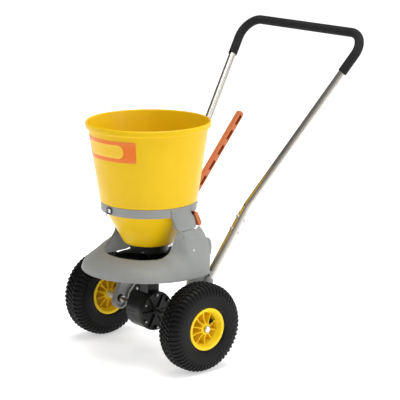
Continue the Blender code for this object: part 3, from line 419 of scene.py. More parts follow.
class Finish(NodeTree):
    """A procedural surface: colour, roughness and relief from noise in the piece's own space."""

    def __init__(self, name, roughness, metallic=0.0, uv=False):
        self.material = bpy.data.materials.new(name)
        super().__init__(self.material)
        self.shader = self.nodes["Principled BSDF"]
        self.set(Metallic=metallic, Roughness=roughness)
        self.space = self.node("TexCoord").outputs["UV" if uv else "Object"]

    def set(self, **values):
        for label, value in values.items():
            self.shader.inputs[label.replace("_", " ")].default_value = value

    def drive(self, label, value):
        self.links.new(value, self.shader.inputs[label])

    def noise(self, scale, detail=3.0, rough=0.55, stretch=None, warp=0.0):
        """Noise in the piece's space, which stretch scales on each axis."""
        place = self.node("Mapping", [self.space], Scale=stretch).outputs["Vector"] if stretch else self.space
        return self.node("TexNoise", [place], Scale=scale, Detail=detail, Roughness=rough,
                         Distortion=warp).outputs["Fac"]

    def cells(self, scale):
        return self.node("TexVoronoi", [self.space], Scale=scale).outputs["Distance"]

    def product(self, first, second):
        return self.node("Math", [first, second], "MULTIPLY").outputs["Value"]

    def mix(self, factor, first, second):
        """Blend two colours, each a triple or an earlier colour."""
        step = self.nodes.new("ShaderNodeMix")
        step.data_type = "RGBA"
        self.links.new(factor, step.inputs["Factor"])
        for label, value in (("A", first), ("B", second)):
            socket = [item for item in step.inputs if item.name == label and item.type == "RGBA"][0]
            if isinstance(value, tuple):
                socket.default_value = (*value, 1.0)
            else:
                self.links.new(value, socket)
        return [item for item in step.outputs if item.type == "RGBA"][0]

    def edges(self, low=0.52, high=0.6):
        """Convex edges, where handling wears a surface."""
        return self.fade(self.node("NewGeometry").outputs["Pointiness"], low, high)

    def relief(self, *layers):
        """Bumps, each (height, strength, distance), laid over each other."""
        normal = None
        for source, strength, distance in layers:
            bump = self.node("Bump", Strength=strength, Distance=distance)
            self.links.new(source, bump.inputs["Height"])
            if normal:
                self.links.new(normal, bump.inputs["Normal"])
            normal = bump.outputs["Normal"]
        self.drive("Normal", normal)


def gloss_moulding(name, main, deep, pale, rough=(0.3, 0.44)):
    """Smooth coloured moulding: faint mottling, moulding waves, fine scuffs and paler edges."""
    finish = Finish(name, rough[0])
    mottled = finish.mix(finish.fade(finish.noise(7, 3), 0.35, 0.68), main, deep)
    rubbed = finish.product(finish.fade(finish.noise(60, 5, 0.7, (1, 1, 0.25)), 0.56, 0.8, 0.0, 0.35),
                            finish.fade(finish.noise(9, 2), 0.45, 0.65))
    scuffed = finish.mix(rubbed, mottled, pale)
    finish.drive("Base Color", finish.mix(finish.fade(finish.edges(), 0, 1, 0, 0.3), scuffed, pale))
    finish.drive("Roughness", finish.fade(finish.noise(26, 6, 0.65), 0.3, 0.7, *rough))
    finish.relief((finish.noise(11, 1), 0.25, 0.0012), (finish.noise(750, 2), 0.12, 0.00025))
    finish.set(Specular_IOR_Level=0.2)
    return finish.material


def grained_moulding(name, main, deep, pale, rough=(0.46, 0.62), grain=1500, shine=0.5):
    """Fine-grained moulding with faint flow marks and rubbed edges."""
    finish = Finish(name, rough[0])
    mottled = finish.mix(finish.fade(finish.noise(9, 4), 0.32, 0.7), main, deep)
    flow = finish.fade(finish.noise(14, 5, 0.6, (1, 1, 4), 0.6), 0.55, 0.8, 0.0, 0.3)
    streaked = finish.mix(flow, mottled, pale)
    worn = finish.fade(finish.edges(0.51, 0.58), 0, 1, 0, 0.45)
    finish.drive("Base Color", finish.mix(worn, streaked, pale))
    finish.drive("Roughness", finish.fade(finish.noise(40, 6, 0.7), 0.3, 0.7, *rough))
    finish.relief((finish.noise(16, 2), 0.15, 0.0008), (finish.noise(grain, 2, 0.6), 0.3, 0.00025))
    finish.set(Specular_IOR_Level=shine)
    return finish.material


def rubber(name, main, dusty, rough=(0.34, 0.52), grain=900):
    """Black rubber, a little dusty, with a fine skin."""
    finish = Finish(name, rough[0])
    dust = finish.product(finish.fade(finish.noise(18, 6, 0.7), 0.42, 0.75),
                          finish.fade(finish.noise(220, 3), 0.35, 0.7))
    finish.drive("Base Color", finish.mix(dust, main, dusty))
    finish.drive("Roughness", finish.fade(finish.noise(60, 5, 0.6), 0.3, 0.7, *rough))
    finish.relief((finish.noise(45, 3), 0.2, 0.0006), (finish.noise(grain, 2), 0.35, 0.0003))
    finish.set(Specular_IOR_Level=0.15)
    return finish.material


def foam(name):
    """Closed-cell foam sleeve: tiny cells and a dull skin."""
    finish = Finish(name, 0.85)
    cells = finish.cells(1100)
    cloud = finish.fade(finish.noise(30, 5, 0.7), 0.3, 0.7)
    shade = finish.mix(cloud, (0.01, 0.01, 0.0105), (0.019, 0.019, 0.02))
    walls = finish.fade(cells, 0.25, 0.75, 0, 0.5)
    finish.drive("Base Color", finish.mix(walls, shade, (0.028, 0.028, 0.029)))
    finish.drive("Roughness", finish.fade(finish.noise(25, 3), 0.3, 0.7, 0.72, 0.9))
    finish.relief((finish.noise(60, 4), 0.35, 0.0008), (cells, 0.45, 0.0004))
    finish.set(Specular_IOR_Level=0.12)
    return finish.material


def drawn_steel(name, main, deep, rough=(0.16, 0.3), uv=True):
    """Stainless tube with drawing lines along it and faint handling marks."""
    finish = Finish(name, rough[0], 1.0, uv)
    lines = finish.noise(1.0, 4, 0.6, (2600, 14, 1) if uv else (900, 900, 30))
    cloud = finish.noise(1.0, 3, 0.6, (40, 14, 1) if uv else (24, 24, 24))
    tone = finish.mix(finish.fade(lines, 0.3, 0.7), main, deep)
    finish.drive("Base Color", finish.mix(finish.fade(cloud, 0.5, 0.8, 0, 0.35), tone, deep))
    finish.drive("Roughness", finish.fade(lines, 0.25, 0.75, *rough))
    finish.relief((lines, 0.1, 0.00012))
    return finish.material


def plated_steel(name, main, deep, rough=(0.22, 0.42)):
    """Bright zinc plate, slightly clouded."""
    finish = Finish(name, rough[0], 1.0)
    cloud = finish.noise(160, 5, 0.65)
    finish.drive("Base Color", finish.mix(finish.fade(cloud, 0.35, 0.7), main, deep))
    finish.drive("Roughness", finish.fade(finish.noise(420, 4), 0.3, 0.7, *rough))
    finish.relief((finish.noise(600, 3), 0.12, 0.0002))
    return finish.material


# finish: its material and its slot
FINISHES = {
    "hopper": (gloss_moulding("hopper_yellow", (0.77, 0.496, 0.003), (0.72, 0.445, 0.002), (0.8, 0.57, 0.03),
                              (0.27, 0.4)), "yellow_hopper"),
    "rim": (gloss_moulding("rim_yellow", (0.9, 0.64, 0.016), (0.82, 0.54, 0.01), (0.92, 0.72, 0.12),
                           (0.28, 0.42)), "yellow_rim"),
    "grey": (grained_moulding("chassis_grey", (0.268, 0.276, 0.267), (0.24, 0.247, 0.239),
                              (0.34, 0.35, 0.34)), "grey_moulding"),
    "black": (grained_moulding("gearbox_black", (0.007, 0.0072, 0.0071), (0.005, 0.0052, 0.0051),
                               (0.024, 0.024, 0.023), (0.28, 0.45), shine=0.24), "black_moulding"),
    "orange": (grained_moulding("lever_orange", (0.5, 0.125, 0.026), (0.43, 0.095, 0.018), (0.62, 0.22, 0.08),
                                (0.4, 0.55)), "orange_moulding"),
    "label": (gloss_moulding("label_orange", (0.78, 0.175, 0.018), (0.72, 0.15, 0.014), (0.84, 0.31, 0.1),
                             (0.3, 0.42)), "label_orange"),
    "label_mark": (gloss_moulding("label_yellow", (0.82, 0.52, 0.03), (0.78, 0.47, 0.022), (0.88, 0.65, 0.15),
                                  (0.3, 0.42)), "label_orange"),
    "tyre": (rubber("tyre_black", (0.003, 0.003, 0.003), (0.007, 0.0068, 0.0062)), "tyre_rubber"),
    "tube_rubber": (rubber("valve_black", (0.01, 0.01, 0.01), (0.028, 0.027, 0.025), (0.45, 0.65)),
                    "black_moulding"),
    "foam": (foam("grip_foam"), "foam_rubber"),
    "tube": (drawn_steel("tube_steel", (0.63, 0.6, 0.55), (0.45, 0.42, 0.37), (0.18, 0.32)), "stainless"),
    "sheet": (drawn_steel("sheet_steel", (0.6, 0.59, 0.56), (0.45, 0.44, 0.42), (0.26, 0.42), False),
              "stainless"),
    "zinc": (plated_steel("zinc_plate", (0.7, 0.7, 0.7), (0.5, 0.5, 0.51)), "zinc"),
    "nylon": (grained_moulding("nylon_white", (0.7, 0.69, 0.65), (0.62, 0.61, 0.57), (0.8, 0.79, 0.76)),
              "nylon"),
}


# Wheels -----------------------------------------------------------------------

def four_around(items, index):
    """An item and the next, with the one before them and the one after."""
    return items[max(index - 1, 0)], items[index], items[index + 1], items[min(index + 2, len(items) - 1)]


def spline(before, first, last, after, share):
    """A point of a smooth curve on its way from first to last."""
    return 0.5 * (2 * first + (last - before) * share
                  + (2 * before - 5 * first + 4 * last - after) * share ** 2
                  + (3 * first - before - 3 * last + after) * share ** 3)


def smooth_line(knots, steps):
    """A curve through flat points."""
    knots = [Vector(knot) for knot in knots]
    found = []
    for index in range(len(knots) - 1):
        found += [tuple(spline(*four_around(knots, index), step / steps)) for step in range(steps)]
    return found + [tuple(knots[-1])]


CASING = [(0.06, 0.033), (0.0655, 0.0368), (0.072, 0.0396), (0.083, 0.0416), (0.095, 0.042),
          (0.106, 0.0404), (0.115, 0.0358), (0.1215, 0.027), (0.125, 0.015), (0.126, 0.0)]


def casing_point(share):
    """Place and outward direction on the casing's outline; 0 at the bead, 1 at the crown's middle."""
    line = smooth_line(CASING, 8)
    spot = share * (len(line) - 1)
    index = min(int(spot), len(line) - 2)
    first, last = Vector(line[index]), Vector(line[index + 1])
    heading = (last - first).normalized()
    return first.lerp(last, spot - index), Vector((heading.y, -heading.x)) * -1


def casing_spot(share, turn, lift):
    """A point over the casing, lifted outwards."""
    place, outward = casing_point(share)
    spot = place + outward * lift
    return Vector((spot.x * math.cos(turn), spot.x * math.sin(turn), spot.y))


def tyre_casing():
    """Casing with a rounded crown, a rim guard ring, a sidewall step and a hollow inside."""
    half = smooth_line(CASING, 8)
    outside = []
    for radius, height in half:
        lift = 0.0
        if 0.0955 < radius < 0.0985:
            lift = 0.0007
        if 0.069 < radius < 0.0712:
            lift = 0.0008
        outside.append((radius, height + lift))
    inside = smooth_line([(0.1215, 0.0), (0.1175, 0.024), (0.108, 0.0345), (0.093, 0.0368), (0.07, 0.033),
                          (0.056, 0.024), (0.0512, 0.0195)], 5)
    bead = [(0.0512, 0.0296), (0.056, 0.0306)]
    top = inside + bead + outside
    bottom = [(radius, -height) for radius, height in top[::-1]]
    profile = top[:-1] + bottom[:-1]
    return revolve(profile, 144)


def knob(centre_share, half_share, turn, half_turn, height):
    """A low rounded block on the crown."""
    points = []
    rings = ((1.0, -0.0008), (1.0, height * 0.55), (0.86, height * 0.9), (0.55, height))
    corners = 8
    for size, lift in rings:
        for corner in range(corners):
            angle = 2 * math.pi * (corner + 0.5) / corners
            across = max(-0.92, min(0.92, 1.12 * math.cos(angle)))
            around = max(-0.92, min(0.92, 1.12 * math.sin(angle)))
            points.append(crown_spot(centre_share + half_share * across * size,
                                     turn + half_turn * around * size, lift))
    rows = [range(first, first + corners) for first in range(0, len(points), corners)]
    return points, bands(rows) + rows[-1:]


def crown_spot(across, turn, lift):
    """A point over the crown; across runs along the axle in metres."""
    radius = CASING[-1][0] - CROWN_FALL * across * across + lift
    return Vector((radius * math.cos(turn), radius * math.sin(turn), across))


def shoulder_lug(side, turn, half_turn):
    """A curved rib that runs from the crown's edge over the shoulder to the sidewall."""
    section = ((-1.0, -0.001), (-0.92, 0.7), (-0.55, 1.0), (0.55, 1.0), (0.92, 0.7), (1.0, -0.001))
    points = []
    stations = 9
    for station in range(stations):
        along = station / (stations - 1)
        share = 0.905 - 0.415 * along
        lift = 0.0036 * (1 - along) ** 0.5 * min(1.0, 0.45 + 4 * along) + 0.0004
        lean = -side * 0.02 * math.sin(along * math.pi / 2)
        width = half_turn * (1.0 - 0.18 * along)
        for offset, rise in section:
            height = rise * lift if rise > 0 else rise
            spot = casing_spot(share, turn + lean + width * offset, height)
            points.append(Vector((spot.x, spot.y, spot.z * side)))
    rows = [range(first, first + len(section)) for first in range(0, len(points), len(section))]
    return points, bands(rows, closed=False) + [rows[0], rows[-1]]


def tyre_tread():
    """Four staggered rows of knobs and a ring of ribs on each shoulder."""
    points = []
    faces = []

    def gather(part):
        base = len(points)
        points.extend(part[0])
        faces.extend(tuple(base + index for index in face) for face in part[1])

    pitch = 2 * math.pi / LUG_COUNT
    for row, across in enumerate((-0.0168, -0.0056, 0.0056, 0.0168)):
        for index in range(LUG_COUNT):
            height = 0.004 if abs(across) < 0.01 else 0.0042
            gather(knob(across, 0.0045, pitch * (index + 0.5 * (row % 2)), 0.34 * pitch, height))
    for side in (-1, 1):
        for index in range(LUG_COUNT):
            gather(shoulder_lug(side, pitch * (index + (0.25 if side > 0 else 0.75)), 0.27 * pitch))
    return build_mesh(points, faces)


def rim_shape():
    """Moulded rim: rounded flanges, drop centre, hub, a web and ribs on both faces."""
    inner = [(AXLE_R + 0.0008, HUB_X), (HUB_R, HUB_X), (HUB_R + 0.0012, 0.002)]
    outer = [(0.044, 0.002), (0.0462, 0.02), (0.053, FLANGE_X - 0.0022), (0.0552, FLANGE_X),
             (FLANGE_R, FLANGE_X), (FLANGE_R, FLANGE_X - 0.0035), (0.0516, 0.0312), (0.0506, 0.016)]
    top = inner + outer
    profile = top + [(radius, -height) for radius, height in top[::-1]]
    rim = revolve(fillet(profile, 0.0016, 4), 120)
    ribs = []
    for index in range(RIB_COUNT):
        crest = [(0.013, 0.0302), (0.017, 0.0292), (0.03, 0.0236), (0.0475, 0.0212)]
        outline = crest + [(reach, -rise) for reach, rise in crest[::-1]]
        rib = prism(outline, -0.0012, 0.0012)
        ribs.append(moved(rib, rotation=(0, 0, 2 * math.pi * (index + 0.5) / RIB_COUNT)))
    rim = union(rim, joined(ribs))
    slot = prism(rectangle((-0.0062, 0.024), (0.0062, 0.06), 0.003, 4), -0.0062, 0.0062, "z")
    return moved(cut(rim, slot), rotation=(0, 0, VALVE_TURN))


def valve_shape():
    """Rubber stem out of the barrel, an elbow and a knurled cap."""
    path = rounded_path([(0, 0.056, 0), (0, 0.029, 0), (0, 0.029, 0.0235)], 0.008, 8)
    stem = sweep(path, 0.004, 0.0, 24)
    collar = moved(cylinder(0.0056, -0.006, 0.002, 24, 0.0008), (0, 0.048, 0), (math.pi / 2, 0, 0))
    cap_outline = [(0, 0.018), (0.0046, 0.018), (0.005, 0.019), (0.005, 0.0275), (0.004, 0.03), (0, 0.03)]
    cap = moved(revolve(fillet(cap_outline, 0.0008), 24), (0, 0.029, 0))
    grooves = []
    for index in range(12):
        turn = 2 * math.pi * index / 12
        groove = cylinder(0.0006, 0.0186, 0.0272, 6)
        grooves.append(moved(groove, (0.0051 * math.cos(turn), 0.029 + 0.0051 * math.sin(turn), 0)))
    return moved(joined([stem, collar, cut(cap, joined(grooves))]), rotation=(0, 0, VALVE_TURN))


def add_wheels():
    casing = tyre_casing()
    tread = tyre_tread()
    rim = rim_shape()
    valve = valve_shape()
    for side, sign, body in (("left", 1, "drive_axle"), ("right", -1, "right_wheel")):
        centre = (sign * WHEEL_X, 0, AXLE_Z)
        facing = (0, sign * math.pi / 2, 0)
        add(side + "_tyre_casing", casing.copy(), "tyre", side + "_tyre", 0, centre, facing, 60, body=body)
        add(side + "_tyre_tread", tread.copy(), "tyre", "", 0, centre, facing, 50, body=body)
        add(side + "_wheel_rim", rim.copy(), "rim", side + "_rim", 0.0006, centre, facing, 38, body=body)
        add(side + "_valve", valve.copy(), "tube_rubber", side + "_inner_tube", 0, centre, facing, 40,
            body=body)
        dome = [(0, 0.0012), (0.006, 0.0012), (0.0064, -0.004), (0.0085, -0.004), (0.0092, -0.0018),
                (0.01, -0.0012), (0.01, 0.0006), (0.0092, 0.003), (0.0066, 0.0044), (0.004, 0.0049),
                (0, 0.005)]
        add(side + "_axle_cap", revolve(fillet(dome, 0.0006), 48), "zinc", side + "_hub_cap", 0,
            (sign * (AXLE_HALF + 0.0005), 0, AXLE_Z), facing, 40, body="drive_axle")


def add_axle():
    """Live axle, spacers, bushes and the set collar with its grub-screw hole."""
    line = (0, 0, AXLE_Z)
    along = (0, math.pi / 2, 0)
    shaft = rod((0, 0, -AXLE_HALF), (0, 0, AXLE_HALF), AXLE_R, 32)
    add("axle_rod", shaft, "tube", "axle", 0.0004, line, along, body="drive_axle")
    for side, sign in SIDES:
        low, high = sorted((sign * (LEG_OUT + 0.0008), sign * (WHEEL_X - HUB_X - 0.0006)))
        tube = sleeve(AXLE_R + 0.0001, 0.0095, low, high, 40, 0.0006)
        add(side + "_axle_spacer", tube, "nylon", side + "_spacer", 0, line, along, body="drive_axle")
        bush = [(AXLE_R + 0.0001, LEG_IN - 0.002), (0.0125, LEG_IN - 0.002), (0.0125, LEG_IN - 0.0003),
                (0.0093, LEG_IN - 0.0003), (0.0093, LEG_OUT + 0.0003), (AXLE_R + 0.0001, LEG_OUT + 0.0003)]
        add(side + "_bush", revolve(fillet(bush, 0.0005), 48), "black", side + "_axle_bush", 0, line,
            (0, sign * math.pi / 2, 0))
    collar = sleeve(AXLE_R + 0.0001, 0.0088, -0.0035, 0.0035, 40, 0.0005)
    grub = moved(cylinder(0.002, 0.007, 0.01, 20), rotation=(math.pi / 2, 0, 0))
    add("set_collar", cut(collar, grub), "zinc", "axle_set_collar", 0, (-0.134, 0, AXLE_Z), along,
        body="drive_axle")


def screw(radius, height, cross=0.55, shank=0.0):
    """Domed screw head with a cross recess, seated on z = 0."""
    outline = [(0, -shank), (radius * 0.5, -shank), (radius * 0.5, -0.0001), (radius, -0.0001),
               (radius, height * 0.35), (radius * 0.86, height * 0.75), (radius * 0.5, height * 0.97),
               (0, height)]
    head = revolve(outline, 36)
    reach, half = radius * cross, radius * 0.1
    arms = [moved(box((-reach, -half, height * 0.45), (reach, half, height * 1.4)), rotation=(0, 0, turn))
            for turn in (0.4, 0.4 + math.pi / 2)]
    return cut(head, *arms)


def hex_bolt(across, height, washer, thick):
    """Hexagon head on a flat washer, seated on z = 0."""
    ring = revolve(fillet([(0, 0), (washer, 0), (washer, thick), (0, thick)], 0.0002), 40)
    head = prism(arc((0, 0), across / 2 / math.cos(math.pi / 6), 0, 300, 5), thick, thick + height, "z")
    crown = revolve([(0, thick - 0.001), (across, thick - 0.001), (across, thick + height * 0.55),
                     (across * 0.44, thick + height), (0, thick + height)], 48)
    return joined([ring, combine(head, crown, "INTERSECT")])


def cover_screw_places(depth):
    found = []
    for index in range(COVER_SCREW_COUNT):
        turn = math.radians(30 + 60 * index)
        found.append((depth, COVER_SCREW_R * math.cos(turn), AXLE_Z + COVER_SCREW_R * math.sin(turn)))
    return found


# Gearbox and spinner ----------------------------------------------------------

def add_gearbox():
    """Drum with a neck and a lug, its ribbed cover and six screws."""
    shell = [(AXLE_R + 0.0002, DRUM_LOW_X), (DRUM_R, DRUM_LOW_X), (DRUM_R, DRUM_HIGH_X - 0.005),
             (DRUM_R + 0.0008, DRUM_HIGH_X - 0.0044), (DRUM_R + 0.0008, DRUM_HIGH_X),
             (DRUM_R - DRUM_WALL, DRUM_HIGH_X), (DRUM_R - DRUM_WALL, DRUM_LOW_X + DRUM_WALL),
             (AXLE_R + 0.0002, DRUM_LOW_X + DRUM_WALL)]
    drum = along_x(revolve(fillet(shell, 0.0022, 4), 132), (0, 0, AXLE_Z))
    vent = box((-0.0335, -0.07, AXLE_Z + 0.0006), (0.0025, -0.056, AXLE_Z + 0.0022))
    drum = cut(drum, cylinder(0.0085, 0.175, 0.2, 40), vent)
    add("gearbox_drum", drum, "black", "gearbox_housing", 0.0005, smooth=40)
    block = prism(rectangle((-0.021, 0.17), (0.021, 0.216), 0.003, 5), -0.019, 0.019)
    outside = along_x(cylinder(DRUM_R - 0.0008, -0.06, 0.06, 96), (0, 0, AXLE_Z))
    block = cut(block, outside, cylinder(0.0085, 0.15, 0.196, 40))
    neck = revolve(fillet([(0.006, 0.21), (0.0165, 0.21), (0.015, 0.218), (0.014, 0.24),
                           (0.016, 0.248), (0.0235, 0.248), (0.0235, 0.252), (0.0085, 0.252),
                           (0.0085, 0.24), (0.006, 0.24)], 0.001), 72)
    way = cylinder(0.006, 0.19, 0.23, 40)
    ribs = [moved(box((0.012, -0.0012, 0.215), (0.0185, 0.0012, 0.2485)), rotation=(0, 0, math.radians(turn)))
            for turn in (45, 135, 225, 315)]
    ribs.append(prism([(-0.0205, 0.215), (-0.013, 0.248), (0.013, 0.248), (0.0205, 0.215)], -0.0012, 0.0012))
    add("gearbox_neck", joined([cut(block, way), neck]), "black", "", 0.0006)
    add("gearbox_neck_ribs", cut(joined(ribs), cylinder(0.01, 0.2, 0.26, 40)), "black", "", 0.0004)
    lug = moved(sleeve(0.003, 0.0085, -0.01, 0.01, 48, 0.0006), (-0.029, -0.012, 0.19), (math.pi / 2, 0, 0))
    arm = prism(fillet([(-0.029, 0.1815), (-0.018, 0.176), (-0.018, 0.1985), (-0.029, 0.1985)], 0.001),
                -0.006, 0.006, "z")
    arm = moved(arm, (0, -0.013, 0), (math.pi / 2, 0, 0))
    arm = cut(arm, moved(cylinder(0.007, -0.03, 0.03, 48), (-0.029, -0.012, 0.19), (math.pi / 2, 0, 0)))
    add("gearbox_lug", joined([lug, arm]), "black", "", 0.0006)
    lug_screw = moved(screw(0.0048, 0.0026), (-0.029, -0.0221, 0.19), (math.pi / 2, 0, 0))
    add("gearbox_lug_screw", lug_screw, "zinc", "", 0.0001)

    low = DRUM_HIGH_X + 0.0003
    disc = [(AXLE_R + 0.0002, low), (DRUM_R + 0.001, low), (DRUM_R + 0.001, low + 0.0035),
            (DRUM_R - 0.001, low + 0.0045), (DRUM_R - 0.001, COVER_HIGH_X), (DRUM_R - 0.0042, COVER_HIGH_X),
            (DRUM_R - 0.0046, low + 0.0035), (0.015, low + 0.0035), (0.0125, COVER_HIGH_X),
            (AXLE_R + 0.0002, COVER_HIGH_X)]
    cover = along_x(revolve(fillet(disc, 0.0008, 3), 132), (0, 0, AXLE_Z))
    turned = [spoke_between(low, index) for index in range(6)]
    bosses = [along_x(cylinder(0.0056, low + 0.002, COVER_HIGH_X - 0.001, 36, 0.0004), spot)
              for spot in cover_screw_places(0)]
    ways = [along_x(cylinder(0.0018, 0.02, 0.05, 16), spot) for spot in cover_screw_places(0)]
    cover = cut(union(cover, joined(turned), joined(bosses)), joined(ways))
    add("gearbox_cover_plate", cover, "black", "gearbox_cover", 0.0004, smooth=40)
    head = screw(0.0034, 0.0026, 0.62, 0.01)
    for index, spot in enumerate(cover_screw_places(COVER_HIGH_X - 0.001 + 0.0003)):
        place = along_x(head.copy(), spot)
        add(f"cover_screw_head_{index + 1}", place, "zinc", f"cover_screw_{index + 1}", 0.0001)


def spoke_between(low, index):
    """One rib of the cover, from the hub boss to the rim."""
    outline = [(0.011, low + 0.002), (DRUM_R - 0.003, low + 0.002), (DRUM_R - 0.003, COVER_HIGH_X - 0.003),
               (0.03, COVER_HIGH_X - 0.0012), (0.011, COVER_HIGH_X - 0.0006)]
    rib = prism([(second, first) for first, second in outline], -0.0012, 0.0012, "z")
    return moved(rib, (0, 0, AXLE_Z), (math.radians(60 * index), 0, 0))


def add_spinner():
    """Spinner disc with curved-edge fins and a hole for its pin, its shaft and agitator."""
    dish = [(SHAFT_R + 0.0002, SPINNER_Z - 0.006), (0.013, SPINNER_Z - 0.006), (0.013, SPINNER_Z),
            (SPINNER_R - 0.004, SPINNER_Z), (SPINNER_R, SPINNER_Z + 0.002),
            (SPINNER_R - 0.0006, SPINNER_Z + 0.0042),
            (SPINNER_R - 0.005, SPINNER_Z + 0.003), (0.0145, SPINNER_Z + 0.003), (0.0115, SPINNER_Z + 0.017),
            (SHAFT_R + 0.0002, SPINNER_Z + 0.017)]
    disc = revolve(fillet(dish, 0.0008), 120)
    fins = []
    for index in range(6):
        outline = fillet([(0.0105, 0.001), (SPINNER_R - 0.006, 0.001), (SPINNER_R - 0.006, 0.011),
                          (0.06, 0.015), (0.0105, 0.015)], 0.003, 4)
        fin = prism([(reach, SPINNER_Z + rise) for reach, rise in outline], -0.001, 0.001)
        fins.append(moved(fin, rotation=(0, 0, 2 * math.pi * (index + 0.25) / 6)))
    disc = union(disc, joined(fins))
    pin_way = moved(cylinder(0.0018, -0.02, 0.02, 20), (0, 0, SPINNER_Z + 0.011), (math.pi / 2, 0, 0))
    add("spinner_plate", cut(disc, pin_way), "black", "spinner_disc", 0.0004, body="spinner")
    shaft = sweep([(0, 0, 0.145), (0, 0, 0.25), (0, 0, AGITATOR_Z + 0.012)], SHAFT_R, 0.0, 28)
    add("upright_shaft", shaft, "tube", "spinner_shaft", 0.0003, body="spinner")
    hub = sleeve(SHAFT_R + 0.0001, 0.0085, AGITATOR_Z - 0.007, AGITATOR_Z + 0.008, 40, 0.0006)
    arms = []
    for sign in (1, -1):
        path = rounded_path([(sign * 0.007, 0, AGITATOR_Z), (sign * 0.044, 0, AGITATOR_Z),
                             (sign * 0.056, 0, AGITATOR_Z + 0.016)], 0.008, 8)
        arms.append(sweep(path, 0.0022, 0.0, 20))
    add("agitator_fingers", joined([hub] + arms), "sheet", "agitator", 0.0003, body="spinner")


# Hopper -----------------------------------------------------------------------

def hopper_radius(height):
    """Outside radius of the tub's tapered wall."""
    share = (height - COLLAR_HIGH) / (WALL_TOP_Z - COLLAR_HIGH)
    return WALL_FOOT_R + (WALL_TOP_R - WALL_FOOT_R) * share


def add_hopper():
    """Thin tub: cone, shoulder, tapered wall, stiffening step and a rolled lip."""
    step = COLLAR_HIGH + 0.0003
    floor = HOPPER_FLOOR + 0.0032
    outside = [(0.068, HOPPER_FLOOR), (0.0712, HOPPER_FLOOR + 0.0012), (0.0748, 0.3393), (0.091, 0.3689),
               (0.1116, 0.4065), (0.1262, 0.434), (0.133, 0.443), (0.136, 0.45), (0.1364, step),
               (WALL_FOOT_R, step), (WALL_TOP_R, WALL_TOP_Z), (0.1738, 0.678), (0.176, 0.6806),
               (HOPPER_LIP_R - 0.0006, 0.6815), (HOPPER_LIP_R, 0.684), (HOPPER_LIP_R, 0.695),
               (HOPPER_LIP_R - 0.003, HOPPER_TOP)]
    inside = [(0.179, HOPPER_TOP), (0.1768, 0.695), (0.1752, 0.688), (WALL_TOP_R - HOPPER_WALL, WALL_TOP_Z),
              (0.1431 - HOPPER_WALL, 0.465), (0.1338, 0.463), (0.1334, 0.4505), (0.1304, 0.4445),
              (0.1238, 0.4352), (0.1086, 0.4065), (0.0738, 0.344), (0.069, floor)]
    profile = [(0.0, HOPPER_FLOOR)] + outside + inside + [(0.0, floor)]
    tub = revolve(fillet(profile, 0.003, 4, 8), 180)
    port = prism(rectangle((-0.022, -0.045), (0.022, -0.029), 0.004, 4), 0.3, 0.35, "z")
    tub = cut(tub, port, cylinder(0.01, 0.3, 0.35, 48))
    add("hopper_tub", tub, "hopper", "hopper", 0.0005, smooth=30)


def patch(low_z, high_z, half_angle, corner, low_lift, high_lift):
    """A thin curved patch with rounded corners on the front of the tub's wall."""
    middle_radius = hopper_radius((low_z + high_z) / 2)
    half_width = math.radians(half_angle) * middle_radius
    rows = 4
    steps = 72
    points = []
    columns = []
    for step in range(steps + 1):
        spread = math.sin((step / steps - 0.5) * math.pi)
        across = half_width * spread
        trim = max(0.0, abs(across) - (half_width - corner))
        drop = corner - math.sqrt(max(corner * corner - trim * trim, 0.0)) if trim > 0 else 0.0
        drop = min(drop, (high_z - low_z) / 2 - 0.0002)
        turn = across / middle_radius
        column = []
        for lift in (low_lift, high_lift):
            for row in range(rows + 1):
                height = low_z + drop + (high_z - low_z - 2 * drop) * row / rows
                radius = hopper_radius(height) + lift
                column.append(len(points))
                points.append((-radius * math.sin(turn), -radius * math.cos(turn), height))
        columns.append((column[:rows + 1], column[rows + 1:]))
    faces = bands([back + front[::-1] for back, front in columns])
    for back, front in (columns[0], columns[-1]):
        faces += bands([back, front], closed=False)
    return build_mesh(points, faces)


def add_label():
    """Plain patch with a blank rounded field and no mark."""
    add("label_patch", patch(0.602, 0.664, 40, 0.003, 0.0002, 0.0005), "label", "hopper_label", smooth=60)
    add("label_field", patch(0.6135, 0.6525, 27, 0.0185, 0.0005, 0.0007), "label_mark", smooth=60)


def add_metering():
    """Outlet body below the tub and the gate that slides in it."""
    top = HOPPER_FLOOR - 0.0003
    outlet = revolve(fillet([(0, 0.309), (0.054, 0.309), (0.056, 0.311), (0.056, top), (0, top)], 0.001), 96)
    slot = box((-0.0345, -0.08, GATE_Z - 0.0003), (0.0345, 0.08, GATE_Z + 0.0023))
    port = box((-0.022, -0.045, 0.3), (0.022, -0.029, 0.35))
    outlet = cut(outlet, slot, port, cylinder(0.01, 0.3, 0.35, 48))
    add("outlet_body", outlet, "black", "metering_base", 0.0004)
    outline = [(-0.034, -0.048), (0.034, -0.048), (0.034, 0.04), (-0.008, 0.09), (-0.03, 0.123),
               (-0.0375, 0.123), (-0.0375, 0.08), (-0.034, 0.062)]
    gate = prism(fillet(outline, 0.003, 4), GATE_Z, GATE_Z + 0.002, "z")
    tab = prism(rectangle((0.093, 0.295), (0.123, GATE_Z + 0.001), 0.003), -0.0375, -0.035)
    shaft_way = prism(arc((0, 0.0075), 0.0085, 0, 180, 16) + arc((0, -0.0225), 0.0085, 180, 360, 16),
                      0.3, 0.33, "z")
    pin_way = prism(rectangle((0.1002, 0.299), (0.1086, 0.3135)), -0.06, -0.03)
    add("gate_blade", cut(union(gate, tab), shaft_way, pin_way), "sheet", "gate_plate", 0.0003, body="gate")


# Chassis ----------------------------------------------------------------------

def bezier(p0, p1, p2, p3, share):
    rest = 1 - share
    return p0 * rest ** 3 + p1 * (3 * share * rest ** 2) + p2 * (3 * share ** 2 * rest) + p3 * share ** 3


